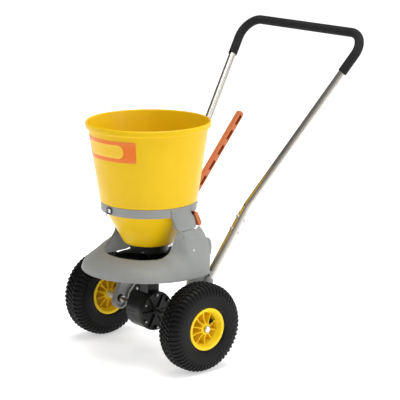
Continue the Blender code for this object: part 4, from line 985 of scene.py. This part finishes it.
def shell_sections():
    """Rising curves of the left half: apron, swoop up to the pillar, pillar, rear corner."""
    sections = []
    for step in range(9):
        turn = math.radians(62 * step / 8)
        lean = math.radians(46 * step / 8)
        rings = ((0.2, 0.263, turn), (0.196, 0.284, turn), (0.17, 0.308, (turn + lean) / 2),
                 (0.131, 0.313, lean))
        sections.append([(radius * math.sin(angle), -radius * math.cos(angle), height)
                         for radius, height, angle in rings])
    sections += [
        [(0.188, -0.069, 0.263), (0.185, -0.064, 0.285), (0.16, -0.064, 0.312), (0.11, -0.0745, 0.3145)],
        [(0.194, -0.048, 0.263), (0.19, -0.044, 0.288), (0.168, -0.045, 0.32), (0.1225, -0.06, 0.317)],
        [(0.1965, -0.03, 0.263), (0.191, -0.027, 0.292), (0.168, -0.027, 0.325), (0.1305, -0.046, 0.3235)],
        [(0.197, -0.015, 0.263), (0.19, -0.012, 0.298), (0.162, -0.016, 0.328), (0.1345, -0.032, 0.335)],
        [(0.197, 0.0, 0.263), (0.189, 0.002, 0.302), (0.158, -0.002, 0.34), (0.1355, -0.0215, 0.356)],
        [(0.1965, 0.017, 0.263), (0.188, 0.02, 0.304), (0.156, 0.012, 0.36), (0.142, -0.011, 0.391)],
        [(0.1958, 0.033, 0.2632), (0.1865, 0.037, 0.305), (0.156, 0.028, 0.36), (0.1525, 0.007, 0.3936)],
        [(0.195, 0.05, 0.264), (0.185, 0.058, 0.305), (0.156, 0.052, 0.356), (0.153, 0.025, 0.3948)],
        [(0.194, 0.062, 0.265), (0.1805, 0.074, 0.304), (0.1552, 0.075, 0.348), (0.153, 0.042, 0.3955)],
        [(0.192, 0.07, 0.267), (0.1765, 0.085, 0.302), (0.1545, 0.089, 0.343), (0.1525, 0.054, 0.3958)],
        [(0.186, 0.0735, 0.268), (0.168, 0.0985, 0.304), (0.148, 0.113, 0.348), (0.1425, 0.077, 0.3958)],
        [(0.176, 0.076, 0.268), (0.156, 0.099, 0.304), (0.136, 0.113, 0.348), (0.13, 0.078, 0.395)],
    ]
    return [[Vector(point) for point in section] for section in sections]


def eased_sections(sections, steps):
    """More sections between the given ones: smooth all round, straight over the rear edges."""
    found = []
    for index in range(len(sections) - 1):
        rear = index >= len(sections) - 3
        for step in range(steps):
            share = step / steps
            found.append([b.lerp(c, share) if rear else spline(a, b, c, d, share)
                          for a, b, c, d in zip(*four_around(sections, index))])
    return found + [sections[-1]]


def add_shell():
    """Apron, side panels and pillars in one thin moulding, with the screws that hold it."""
    whole = eased_sections(shell_sections(), 5)
    other = [[Vector((-point.x, point.y, point.z)) for point in section] for section in whole[:0:-1]]
    columns = other + whole
    rows = 28
    points = []
    for column, section in enumerate(columns):
        lip = min(1.0, max(0.0, (72 - abs(column - len(whole) + 1)) / 6))
        for row in range(rows + 1):
            point = bezier(*section, row / rows)
            outward = Vector((point.x, point.y, 0.06)).normalized()
            points.append(point + outward * 0.0009 * lip * min(1.0, max(0.0, row - rows + 4.0)))
    lines = [range(first, first + rows + 1) for first in range(0, len(points), rows + 1)]
    mesh = bpy.data.meshes.new("shell")
    mesh.from_pydata([tuple(point) for point in points], [], bands(lines, closed=False))
    shell = add("shell_moulding", mesh, "grey", "chassis_shell", smooth=19)
    wall = shell.modifiers.new("wall", "SOLIDIFY")
    wall.thickness = 0.003
    wall.offset = -1.0
    wall.use_even_offset = True
    wall.use_rim = True
    edge = shell.modifiers.new("edges", "BEVEL")
    edge.width = 0.0011
    edge.segments = 3
    edge.limit_method = "ANGLE"
    edge.angle_limit = math.radians(19)
    edge.harden_normals = True
    add_pair("shell_lug", prism(fillet(REAR_LUG, 0.004, 3), 0.134, 0.147), "grey", "", 0.0022, segments=3)
    for index, (y, z) in enumerate(((0.008, 0.377), (0.03, 0.338))):
        for side, sign in SIDES:
            hit, spot, normal, _ = shell.ray_cast(Vector((sign * 0.4, y, z)), Vector((-sign, 0, 0)))
            if not hit:
                continue
            facing = normal.to_track_quat("Z", "Y").to_matrix().to_4x4()
            head = screw(0.004, 0.0018)
            head.transform(Matrix.Translation(spot) @ facing)
            add(f"{side}_shell_screw_{index + 1}", head, "zinc" if index else "grey", "", 0.0001)


def add_collar():
    """Ring under the tub with a socket over each pillar, latch lugs and a front clip."""
    ring = revolve(fillet([(COLLAR_BORE, COLLAR_LOW), (0.1398, COLLAR_LOW), (0.1402, COLLAR_LOW + 0.002),
                           (COLLAR_R - 0.0003, COLLAR_HIGH - 0.002), (COLLAR_R, COLLAR_HIGH),
                           (COLLAR_BORE, COLLAR_HIGH)], 0.0009, 4), 180)
    add("collar_band", ring, "grey", "collar_ring", 0.0003)
    side_view = [(-0.029, 0.462), (-0.0255, 0.436), (-0.0175, 0.418), (-0.0115, 0.4), (-0.006, 0.3946),
                 (0.047, 0.397), (0.055, 0.3985), (0.0565, 0.402), (0.04, 0.462)]
    plan = [(0.123, -0.03), (0.1405, -0.03), (0.1475, -0.014), (0.1525, 0.005), (0.155, 0.039),
            (0.147, 0.06), (0.123, 0.06)]
    cavity = [(-0.005, 0.432), (-0.006, 0.385), (0.05, 0.385), (0.043, 0.41), (0.036, 0.432)]
    socket = combine(prism(fillet(side_view, 0.0015, 3), 0.123, 0.156),
                     prism(fillet(plan, 0.006, 4), 0.38, 0.47, "z"), "INTERSECT")
    shoulder = revolve([(0.1412, 0.462), (0.145, 0.455), (0.151, 0.444), (0.157, 0.43), (0.16, 0.415),
                        (0.161, 0.38), (0.2, 0.38), (0.2, 0.48), (0.1412, 0.48)], 144)
    funnel = revolve([(0, 0.39), (0.13, 0.39), (COLLAR_BORE, 0.434), (COLLAR_BORE, 0.48), (0, 0.48)], 120)
    socket = cut(socket, shoulder, funnel, prism(cavity, 0.1255, 0.1485))
    add_pair("collar_socket", socket, "grey", "", 0.0018, segments=4, smooth=24)
    ear = arc((LATCH_Y, LATCH_Z), 0.005, -70, 110, 10)
    ear += [(LATCH_Y - 0.013, LATCH_Z + 0.008), (LATCH_Y - 0.009, LATCH_Z - 0.009)]
    add_pair("latch_lug", prism(ear, LATCH_X - 0.002, LATCH_X + 0.002), "black", "", 0.0005)
    pin = cylinder(0.002, -LATCH_HALF + 0.001, LATCH_HALF - 0.001, 24)
    add_pair("latch_pin", along_x(pin, (LATCH_X, LATCH_Y, LATCH_Z)), "zinc", "", 0.0003)
    peg = along_x(cylinder(0.0017, 0.0, 0.0042, 24, 0.0006), (0.1406, 0, 0.454))
    add_pair("collar_peg", moved(peg, rotation=(0, 0, PEG_TURN)), "black", "", 0.0002)
    add_clip()


def add_clip():
    """Small wire clip on the front of the collar, with its sliding keeper."""
    frame_line = [(-0.0125, 0.458), (0.0085, 0.458), (0.0085, 0.442), (-0.0125, 0.442)]
    line = [Vector((x, -0.1436, z)) for x, z in fillet(frame_line, 0.0045, 5)]
    loop = sweep(line + [line[0], line[1]], 0.0013, 0.0, 14)
    tongue = moved(prism(rectangle((-0.0042, 0.4445), (0.0052, 0.4555), 0.0015), 0.1418, 0.1445),
                   rotation=(0, 0, -math.pi / 2))
    bend = [(-0.011, -0.1432, 0.443), (-0.0145, -0.1438, 0.435), (-0.0105, -0.1425, 0.431)]
    hook = sweep(rounded_path(bend, 0.003, 6), 0.0013, 0.0, 14)
    add("clip_wire", joined([loop, hook]), "black", "collar_clip", 0)
    add("clip_keeper", tongue, "zinc", "", 0.0004)


def add_latches():
    """Hooked latch on the back of each socket with a finger lip, a slot for its lug and a hole for its pin.
    """
    outline = [(-0.0065, -0.001), (-0.0055, 0.005), (-0.003, 0.007), (0.001, 0.006), (0.004, 0.003),
               (0.0182, -0.025), (0.0186, -0.029), (0.0142, -0.0375), (0.011, -0.0385),
               (0.0085, -0.0365)]
    latch = prism(fillet(outline, 0.0015, 3, 8), -LATCH_HALF, LATCH_HALF)
    slot = box((-0.0024, -0.02, -0.0095), (0.0024, 0.0056, 0.02))
    latch = cut(latch, slot, along_x(cylinder(0.0023, -LATCH_HALF + 0.0006, LATCH_HALF - 0.0006, 32)))
    for side, sign in SIDES:
        add(side + "_latch_body", latch.copy(), "orange", side + "_latch", 0.0014,
            (sign * LATCH_X, LATCH_Y, LATCH_Z), segments=3, body=side + "_latch")


# Handle, legs, lever and stand ------------------------------------------------

def handle_point(x, along, lift):
    """A point of the handle's plane: across, up the slope, and square to it."""
    return Vector((x, HANDLE_FOOT_Y + along * math.cos(HANDLE_TILT) - lift * math.sin(HANDLE_TILT),
                   HANDLE_FOOT_Z + along * math.sin(HANDLE_TILT) + lift * math.cos(HANDLE_TILT)))


def add_legs():
    """Moulded legs with flanged arms, a tube socket and an upright inside the pillar."""
    arm = arc((0.0045, 0.119), 0.0235, 172, 330, 20)
    arm += [(0.035, 0.139), (0.104, 0.208), (0.1075, 0.218), (0.1075, 0.256), (0.101, 0.262),
            (0.046, 0.262), (0.039, 0.254)]
    pocket = arc((0.0045, 0.119), 0.019, 178, 322, 16)
    pocket += [(0.033, 0.145), (0.093, 0.206), (0.098, 0.24), (0.094, 0.256), (0.05, 0.256),
               (0.046, 0.25)]
    upright = [(0.062, 0.23), (0.102, 0.23), (0.102, 0.262), (0.086, 0.295), (0.058, 0.35),
               (0.027, 0.408), (0.024, 0.426), (0.005, 0.426), (0.005, 0.395), (0.016, 0.35),
               (0.048, 0.29)]
    leg = prism(fillet(arm, 0.006, 4), LEG_IN, LEG_OUT)
    eye = along_x(cylinder(0.0165, LEG_IN - 0.0005, LEG_OUT + 0.0005, 64), (0, 0, AXLE_Z))
    hollow_in = cut(prism(fillet(pocket, 0.005, 4), LEG_IN - 0.01, LEG_IN + 0.0085), eye.copy())
    hollow_out = cut(prism(fillet(pocket, 0.005, 4), LEG_OUT - 0.0085, LEG_OUT + 0.01), eye)
    foot = handle_point(TUBE_X, SOCKET_LOW_S - 0.003, 0)
    head = handle_point(TUBE_X, SOCKET_HIGH_S, 0)
    leg = cut(leg, hollow_in, hollow_out)
    leg = union(leg, prism(fillet(upright, 0.004, 4), UPRIGHT_IN, UPRIGHT_OUT))
    leg = union(leg, rod(foot, head, 0.0165, 64))
    top = handle_point(TUBE_X, 0.04, 0)
    bottom = handle_point(TUBE_X, SOCKET_LOW_S + 0.004, 0)
    leg = cut(leg, rod(bottom, top, LOWER_TUBE_R + 0.0003, 64))
    leg = cut(leg, along_x(cylinder(0.0098, 0.1, 0.2, 48), (0, 0, AXLE_Z)))
    add_pair("leg_moulding", leg, "grey", "leg", 0.0009)


def add_beam():
    """Square cross beam, the sheet arm round the gearbox neck and their bolts."""
    def square(half, radius, steps):
        return rectangle((BEAM_Y - half, BEAM_Z - half), (BEAM_Y + half, BEAM_Z + half), radius, steps)

    beam = prism(square(BEAM_HALF, 0.0025, 5), -UPRIGHT_IN + 0.0003, UPRIGHT_IN - 0.0003)
    beam = cut(beam, prism(square(BEAM_HALF * 0.83, 0.0015, 4), -0.2, 0.2))
    add("beam_tube", beam, "sheet", "cross_beam", 0.0004)
    top = BEAM_Z + BEAM_HALF + 0.0003
    plate = arc((0, 0), 0.028, 180, 360, 40) + [(0.045, 0.07), (0.045, 0.098), (-0.045, 0.098),
                                                 (-0.045, 0.07)]
    arm = cut(prism(fillet(plate, 0.004, 4), top, top + 0.004, "z"), cylinder(0.0088, 0.24, 0.28, 48))
    add("neck_arm", arm, "sheet", "gearbox_arm", 0.0005)
    for index, x in enumerate((-0.034, -0.012, 0.012, 0.034)):
        bolt = moved(hex_bolt(0.008, 0.0035, 0.0062, 0.001), (x, BEAM_Y, top + 0.004))
        add(f"arm_bolt_{index + 1}", bolt, "zinc", "", 0.0002)


def bow_line():
    """Middle line of the handle bow in its own plane."""
    flare = math.tan(BOW_FLARE)
    corner_x = TUBE_X + (BOW_TOP_S - BOW_BEND_S) * flare
    right = rounded_path([(TUBE_X, 0.13, 0), (TUBE_X, BOW_BEND_S, 0),
                          (corner_x - 0.07 * flare, BOW_TOP_S - 0.07, 0)], 0.06, 10)
    straight = [right[-2].lerp(right[-1], step / 14) for step in range(1, 15)]
    turn = rounded_path([(corner_x - 0.07 * flare, BOW_TOP_S - 0.07, 0), (corner_x, BOW_TOP_S, 0),
                         (0, BOW_TOP_S, 0)], BOW_CORNER, 24)
    across = [turn[-2].lerp(turn[-1], step / 10) for step in range(1, 11)]
    half = right[:-1] + straight + turn[1:-1] + across
    return half[:-1] + [Vector((-point.x, point.y, 0)) for point in half[::-1]]


def tube_hole(x, along, front=0.03):
    return sweep([handle_point(x, along, lift) for lift in (-0.03, -0.015, front)], 0.0037, 0.0, 20)


def add_handle():
    """Lower tubes, flared bow, foam grip and the bolts through both tubes."""
    pitch = BOLT_S[1] - BOLT_S[0]
    low = handle_point(TUBE_X, SOCKET_LOW_S + 0.005, 0)
    high = handle_point(TUBE_X, LOWER_TUBE_TOP_S, 0)
    lower = sweep([low.lerp(high, step / 8) for step in range(9)], LOWER_TUBE_R, LOWER_TUBE_BORE, 56)
    for along, front in ((BOLT_S[0] - pitch, 0.0), (BOLT_S[0], 0.03), (BOLT_S[1], 0.03)):
        lower = cut(lower, tube_hole(TUBE_X, along, front))
    add_pair("socket_tube", lower, "tube", "lower_tube", 0.0003, smooth=40)
    flat = bow_line()
    bow = sweep([handle_point(point.x, point.y, 0) for point in flat], BOW_R, BOW_BORE, 48)
    holes = [tube_hole(sign * TUBE_X, along) for sign in (1, -1) for along in BOLT_S + (BOLT_S[1] + pitch,)]
    add("handle_tube", cut(bow, *holes), "tube", "handle_bow", 0.0003, smooth=40)
    start_x = TUBE_X + (GRIP_START_S - BOW_BEND_S) * math.tan(BOW_FLARE)
    gripped = [point for point in flat if point.y > GRIP_START_S + 0.002]
    ends = [Vector((start_x, GRIP_START_S, 0)), Vector((start_x + 0.0003, GRIP_START_S + 0.0008, 0)),
            Vector((start_x + 0.0006, GRIP_START_S + 0.0024, 0))]
    gripped = ends + gripped + [Vector((-point.x, point.y, 0)) for point in ends[::-1]]

    def soft_end(radius, along, length):
        near = min(along, length - along)
        return radius - 0.0011 * max(0.0, 1 - near / 0.0024) ** 2

    grip = sweep([handle_point(point.x, point.y, 0) for point in gripped], GRIP_R, BOW_R + 0.0003, 48,
                 ripple=soft_end)
    add("grip_foam", grip, "foam", "grip_sleeve", smooth=60)
    count = 0
    for sign in (1, -1):
        for along in BOLT_S:
            count += 1
            seat = LOWER_TUBE_R + 0.0002
            head = [(0, -0.03), (0.0033, -0.03), (0.0033, seat), (0.0058, seat), (0.006, seat + 0.001),
                    (0.0054, seat + 0.0026), (0.0036, seat + 0.0036), (0, seat + 0.004)]
            bolt = revolve(head, 40)
            washer = sleeve(0.0034, 0.0066, -seat - 0.001, -seat, 40, 0.0002)
            nut = prism(arc((0, 0), 0.0064, 0, 300, 5), -seat - 0.0062, -seat - 0.001, "z")
            crown = revolve([(0.003, -seat - 0.0063), (0.005, -seat - 0.0063), (0.0068, -seat - 0.005),
                             (0.0068, -seat), (0.003, -seat)], 48)
            cap = revolve([(0, -seat - 0.0094), (0.0028, -seat - 0.009), (0.0044, -seat - 0.0078),
                           (0.005, -seat - 0.0058), (0, -seat - 0.0058)], 40)
            bolt = cut(bolt, cylinder(0.01, -0.04, -seat - 0.006, 24))
            thing = joined([bolt, washer, combine(nut, crown, "INTERSECT"), cap])
            add(f"bolt_set_{count}", thing, "zinc", f"handle_bolt_{count}", 0.00015,
                handle_point(sign * TUBE_X, along, 0), (HANDLE_TILT, 0, 0))


def add_lever():
    """Bracket, pivot, dosing lever with moulded pockets and the pin that moves the gate."""
    ears = [(0.099, 0.26), (0.118, 0.26), (0.136, 0.276), (0.142, 0.3), (0.144, 0.338)]
    ears += arc((PIVOT_Y, PIVOT_Z), 0.0105, -10, 200, 20)
    ears += [(0.1275, 0.33), (0.127, 0.295), (0.12, 0.282), (0.099, 0.272)]
    plate = prism(ears, LEVER_X - 0.0115, LEVER_X + 0.0115)
    slot = prism(rectangle((0.06, 0.276), (0.2, 0.4)), LEVER_X - 0.0078, LEVER_X + 0.0078)
    bracket = cut(plate, slot, along_x(cylinder(0.0043, -0.1, 0.1, 32), (0, PIVOT_Y, PIVOT_Z)))
    add("bracket_moulding", bracket, "black", "lever_bracket", 0.0006)
    pivot = [(0, -0.0155), (0.0062, -0.0155), (0.007, -0.0145), (0.007, -0.0118), (0.004, -0.0118),
             (0.004, 0.0118), (0.007, 0.0118), (0.007, 0.0145), (0.0062, 0.0155), (0, 0.0155)]
    add("pivot_bolt", revolve(pivot, 40), "zinc", "lever_pivot", 0.0002, (LEVER_X, PIVOT_Y, PIVOT_Z),
        (0, math.pi / 2, 0))
    front, rear = -0.011, 0.009
    outline = [(front, LEVER_TOP - 0.004), (front, 0.0), (-0.0075, -LEVER_FOOT)]
    outline += arc((0, -LEVER_FOOT), 0.0075, 200, 340, 10) + [(rear, 0.0), (rear, LEVER_TOP - 0.01),
                                                             (0.005, LEVER_TOP), (-0.007, LEVER_TOP)]
    lever = prism(fillet(outline, 0.004, 5), -0.007, 0.007)
    pockets = []
    for index in range(5):
        high = LEVER_TOP - 0.008 - 0.055 * index
        shape = [(-0.003, high), (rear - 0.0022, high - 0.005), (rear - 0.0022, high - 0.033),
                 (-0.003, high - 0.038)]
        pockets.append(prism(fillet(shape, 0.002, 3), -0.004, 0.014))
    lever = cut(lever, joined(pockets), along_x(cylinder(0.0042, -0.02, 0.02, 32)),
                along_x(cylinder(0.0031, -0.02, 0.02, 24), (0, 0, -LEVER_FOOT)))
    tilt = LEVER_TILT - math.pi / 2
    add("lever_moulding", lever, "orange", "dosing_lever", 0.0008, (LEVER_X, PIVOT_Y, PIVOT_Z), (tilt, 0, 0),
        body="dosing_lever")
    foot_y = PIVOT_Y - LEVER_FOOT * math.cos(LEVER_TILT)
    foot_z = PIVOT_Z - LEVER_FOOT * math.sin(LEVER_TILT)
    pin = [(0, -0.0085), (0.0045, -0.0085), (0.0045, -0.0073), (0.0028, -0.0073), (0.0028, 0.0175),
           (0, 0.0175)]
    add("gate_pin_rod", revolve(fillet(pin, 0.0004), 32), "zinc", "gate_pin", 0, (LEVER_X, foot_y, foot_z),
        (0, math.pi / 2, 0), body="dosing_lever")


def add_stand():
    """Bent rod under the beam, its welded plate and a rubber foot."""
    top = BEAM_Z - BEAM_HALF - 0.008
    half = [(0.018, BEAM_Y - 0.01, top), (0.018, STAND_Y - 0.008, top), (0.047, STAND_Y, 0.01)]
    corners = half + [(-x, y, z) for x, y, z in half[::-1]]
    bent = sweep(rounded_path(corners, 0.018, 12), 0.006, 0.0, 36)
    plate = prism(rectangle((-0.03, BEAM_Y - 0.011), (0.03, BEAM_Y + 0.011), 0.003, 4),
                  top + 0.003, BEAM_Z - BEAM_HALF - 0.0003, "z")
    add("stand_rod", bent, "tube", "stand", 0.0004)
    add("stand_plate", plate, "sheet", "", 0.0005)
    sole = arc((STAND_Y, 0.01), 0.01, 0, 180, 24) + [(STAND_Y - 0.01, 0), (STAND_Y + 0.01, 0)]
    pad = cut(prism(sole, -0.024, 0.024), along_x(cylinder(0.0063, -0.05, 0.05, 40), (0, STAND_Y, 0.01)))
    add("stand_foot", pad, "tube_rubber", "stand_pad", 0.001)


def refinish_hidden():
    """Better surfaces on the enclosed CAD pieces that keep their shape."""
    for node, finish in (("crown_gear", "nylon"), ("crown_gear_pin", "zinc"), ("pinion", "zinc"),
                         ("spinner_pin", "zinc"), ("wheel_drive_pin", "zinc"), ("lower_shaft_bush", "nylon"),
                         ("upper_shaft_bush", "nylon")):
        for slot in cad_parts[node].material_slots:
            slot.material = FINISHES[finish][0]


# Stage ------------------------------------------------------------------------

LENS = 149.9
SENSOR = 36.0
CAMERA_PLACE = (3.735, -2.918 + AXLE_Y, 1.575)
CAMERA_RIGHT = Vector((0.64, 0.768, 0))
CAMERA_BACK = Vector((0.748, -0.623, 0.229))
FLAG_TURN = math.radians(-39.8)
SKY_AXIS = Vector((0.5, 0.8, -0.3)).normalized()
# name, place, aim, size, power, and whether gloss shows it
LAMPS = [
    ("key", (-3.0, -2.8, 2.4), (0, 0, 0.4), (2.4, 2.0), 50, False),
    ("top", (0.4, 0.2, 4.2), (0, 0, 0.3), (3.0, 3.0), 134, True),
    ("side", (3.4, 1.25, 2.0), (0, 0, 0.5), (1.6, 2.4), 22, True),
]


def add_light(name, place, aim, size, power, glossy):
    lamp = bpy.data.lights.new(name, "AREA")
    lamp.shape = "RECTANGLE"
    lamp.size, lamp.size_y = size
    lamp.energy = power
    thing = bpy.data.objects.new(name, lamp)
    bpy.context.scene.collection.objects.link(thing)
    thing.location = place
    thing.rotation_euler = (Vector(place) - Vector(aim)).to_track_quat("Z", "Y").to_euler()
    thing.visible_glossy = glossy


def plane(name, low, high, height):
    mesh = bpy.data.meshes.new(name)
    mesh.from_pydata([(low[0], low[1], height), (high[0], low[1], height), (high[0], high[1], height),
                      (low[0], high[1], height)], [], [(0, 1, 2, 3)])
    thing = bpy.data.objects.new(name, mesh)
    bpy.context.scene.collection.objects.link(thing)
    return thing


def add_sky():
    """Soft white sky: brighter on one side, with a light patch overhead."""
    world = bpy.data.worlds.new("studio")
    bpy.context.scene.world = world
    sky = NodeTree(world)
    space = sky.node("TexCoord").outputs["Generated"]
    toward = sky.node("VectorMath", [space], "DOT_PRODUCT")
    toward.inputs[1].default_value = SKY_AXIS
    side = sky.fade(toward.outputs["Value"], -0.75, 0.55, 0.16, 0.85)
    side.node.interpolation_type = "SMOOTHSTEP"
    zenith = sky.fade(sky.node("SeparateXYZ", [space]).outputs["Z"], 0.75, 0.92, 0.0, 0.9)
    strength = sky.node("Math", [side, zenith], "MAXIMUM").outputs["Value"]
    background = sky.nodes["Background"]
    sky.links.new(strength, background.inputs["Strength"])
    background.inputs["Color"].default_value = (1, 1, 1, 1)


def add_stage():
    """White paper floor that glows a little, a dark flag seen only in gloss, the sky and the lamps."""
    floor = plane("floor", (-30, -30), (30, 30), 0)
    paper = Finish("floor_paper", 0.9)
    paper.set(Base_Color=(0.88, 0.88, 0.88, 1), Specular_IOR_Level=0.05, Emission_Color=(1, 1, 1, 1))
    reach = paper.node("VectorMath", [paper.space], "LENGTH").outputs["Value"]
    paper.drive("Emission Strength", paper.fade(reach, 0.2, 1.2, 0.46, 0.56))
    floor.data.materials.append(paper.material)
    flag = plane("flag", (1.25, -5.0), (7.0, 5.0), 0)
    flag.location = (0, AXLE_Y, 0.004)
    flag.rotation_euler = (0, 0, FLAG_TURN)
    dark = Finish("flag_cloth", 0.5)
    dark.set(Base_Color=(0.02, 0.02, 0.02, 1))
    flag.data.materials.append(dark.material)
    flag.visible_camera = flag.visible_diffuse = flag.visible_shadow = flag.visible_transmission = False
    add_sky()
    for lamp in LAMPS:
        add_light(*lamp)


def add_camera():
    view = bpy.data.cameras.new("view")
    view.lens = LENS
    view.sensor_width = SENSOR
    camera = bpy.data.objects.new("view", view)
    bpy.context.scene.collection.objects.link(camera)
    right = CAMERA_RIGHT.normalized()
    back = (CAMERA_BACK - right * CAMERA_BACK.dot(right)).normalized()
    up = back.cross(right)
    turn = Matrix((right, up, back)).transposed().to_4x4()
    camera.matrix_world = Matrix.Translation(CAMERA_PLACE) @ turn
    bpy.context.scene.camera = camera
    bpy.context.scene.view_settings.view_transform = "Standard"


add_wheels()
add_axle()
add_gearbox()
add_spinner()
add_hopper()
add_label()
add_metering()
add_shell()
add_collar()
add_latches()
add_legs()
add_beam()
add_handle()
add_lever()
add_stand()
refinish_hidden()
add_stage()
add_camera()
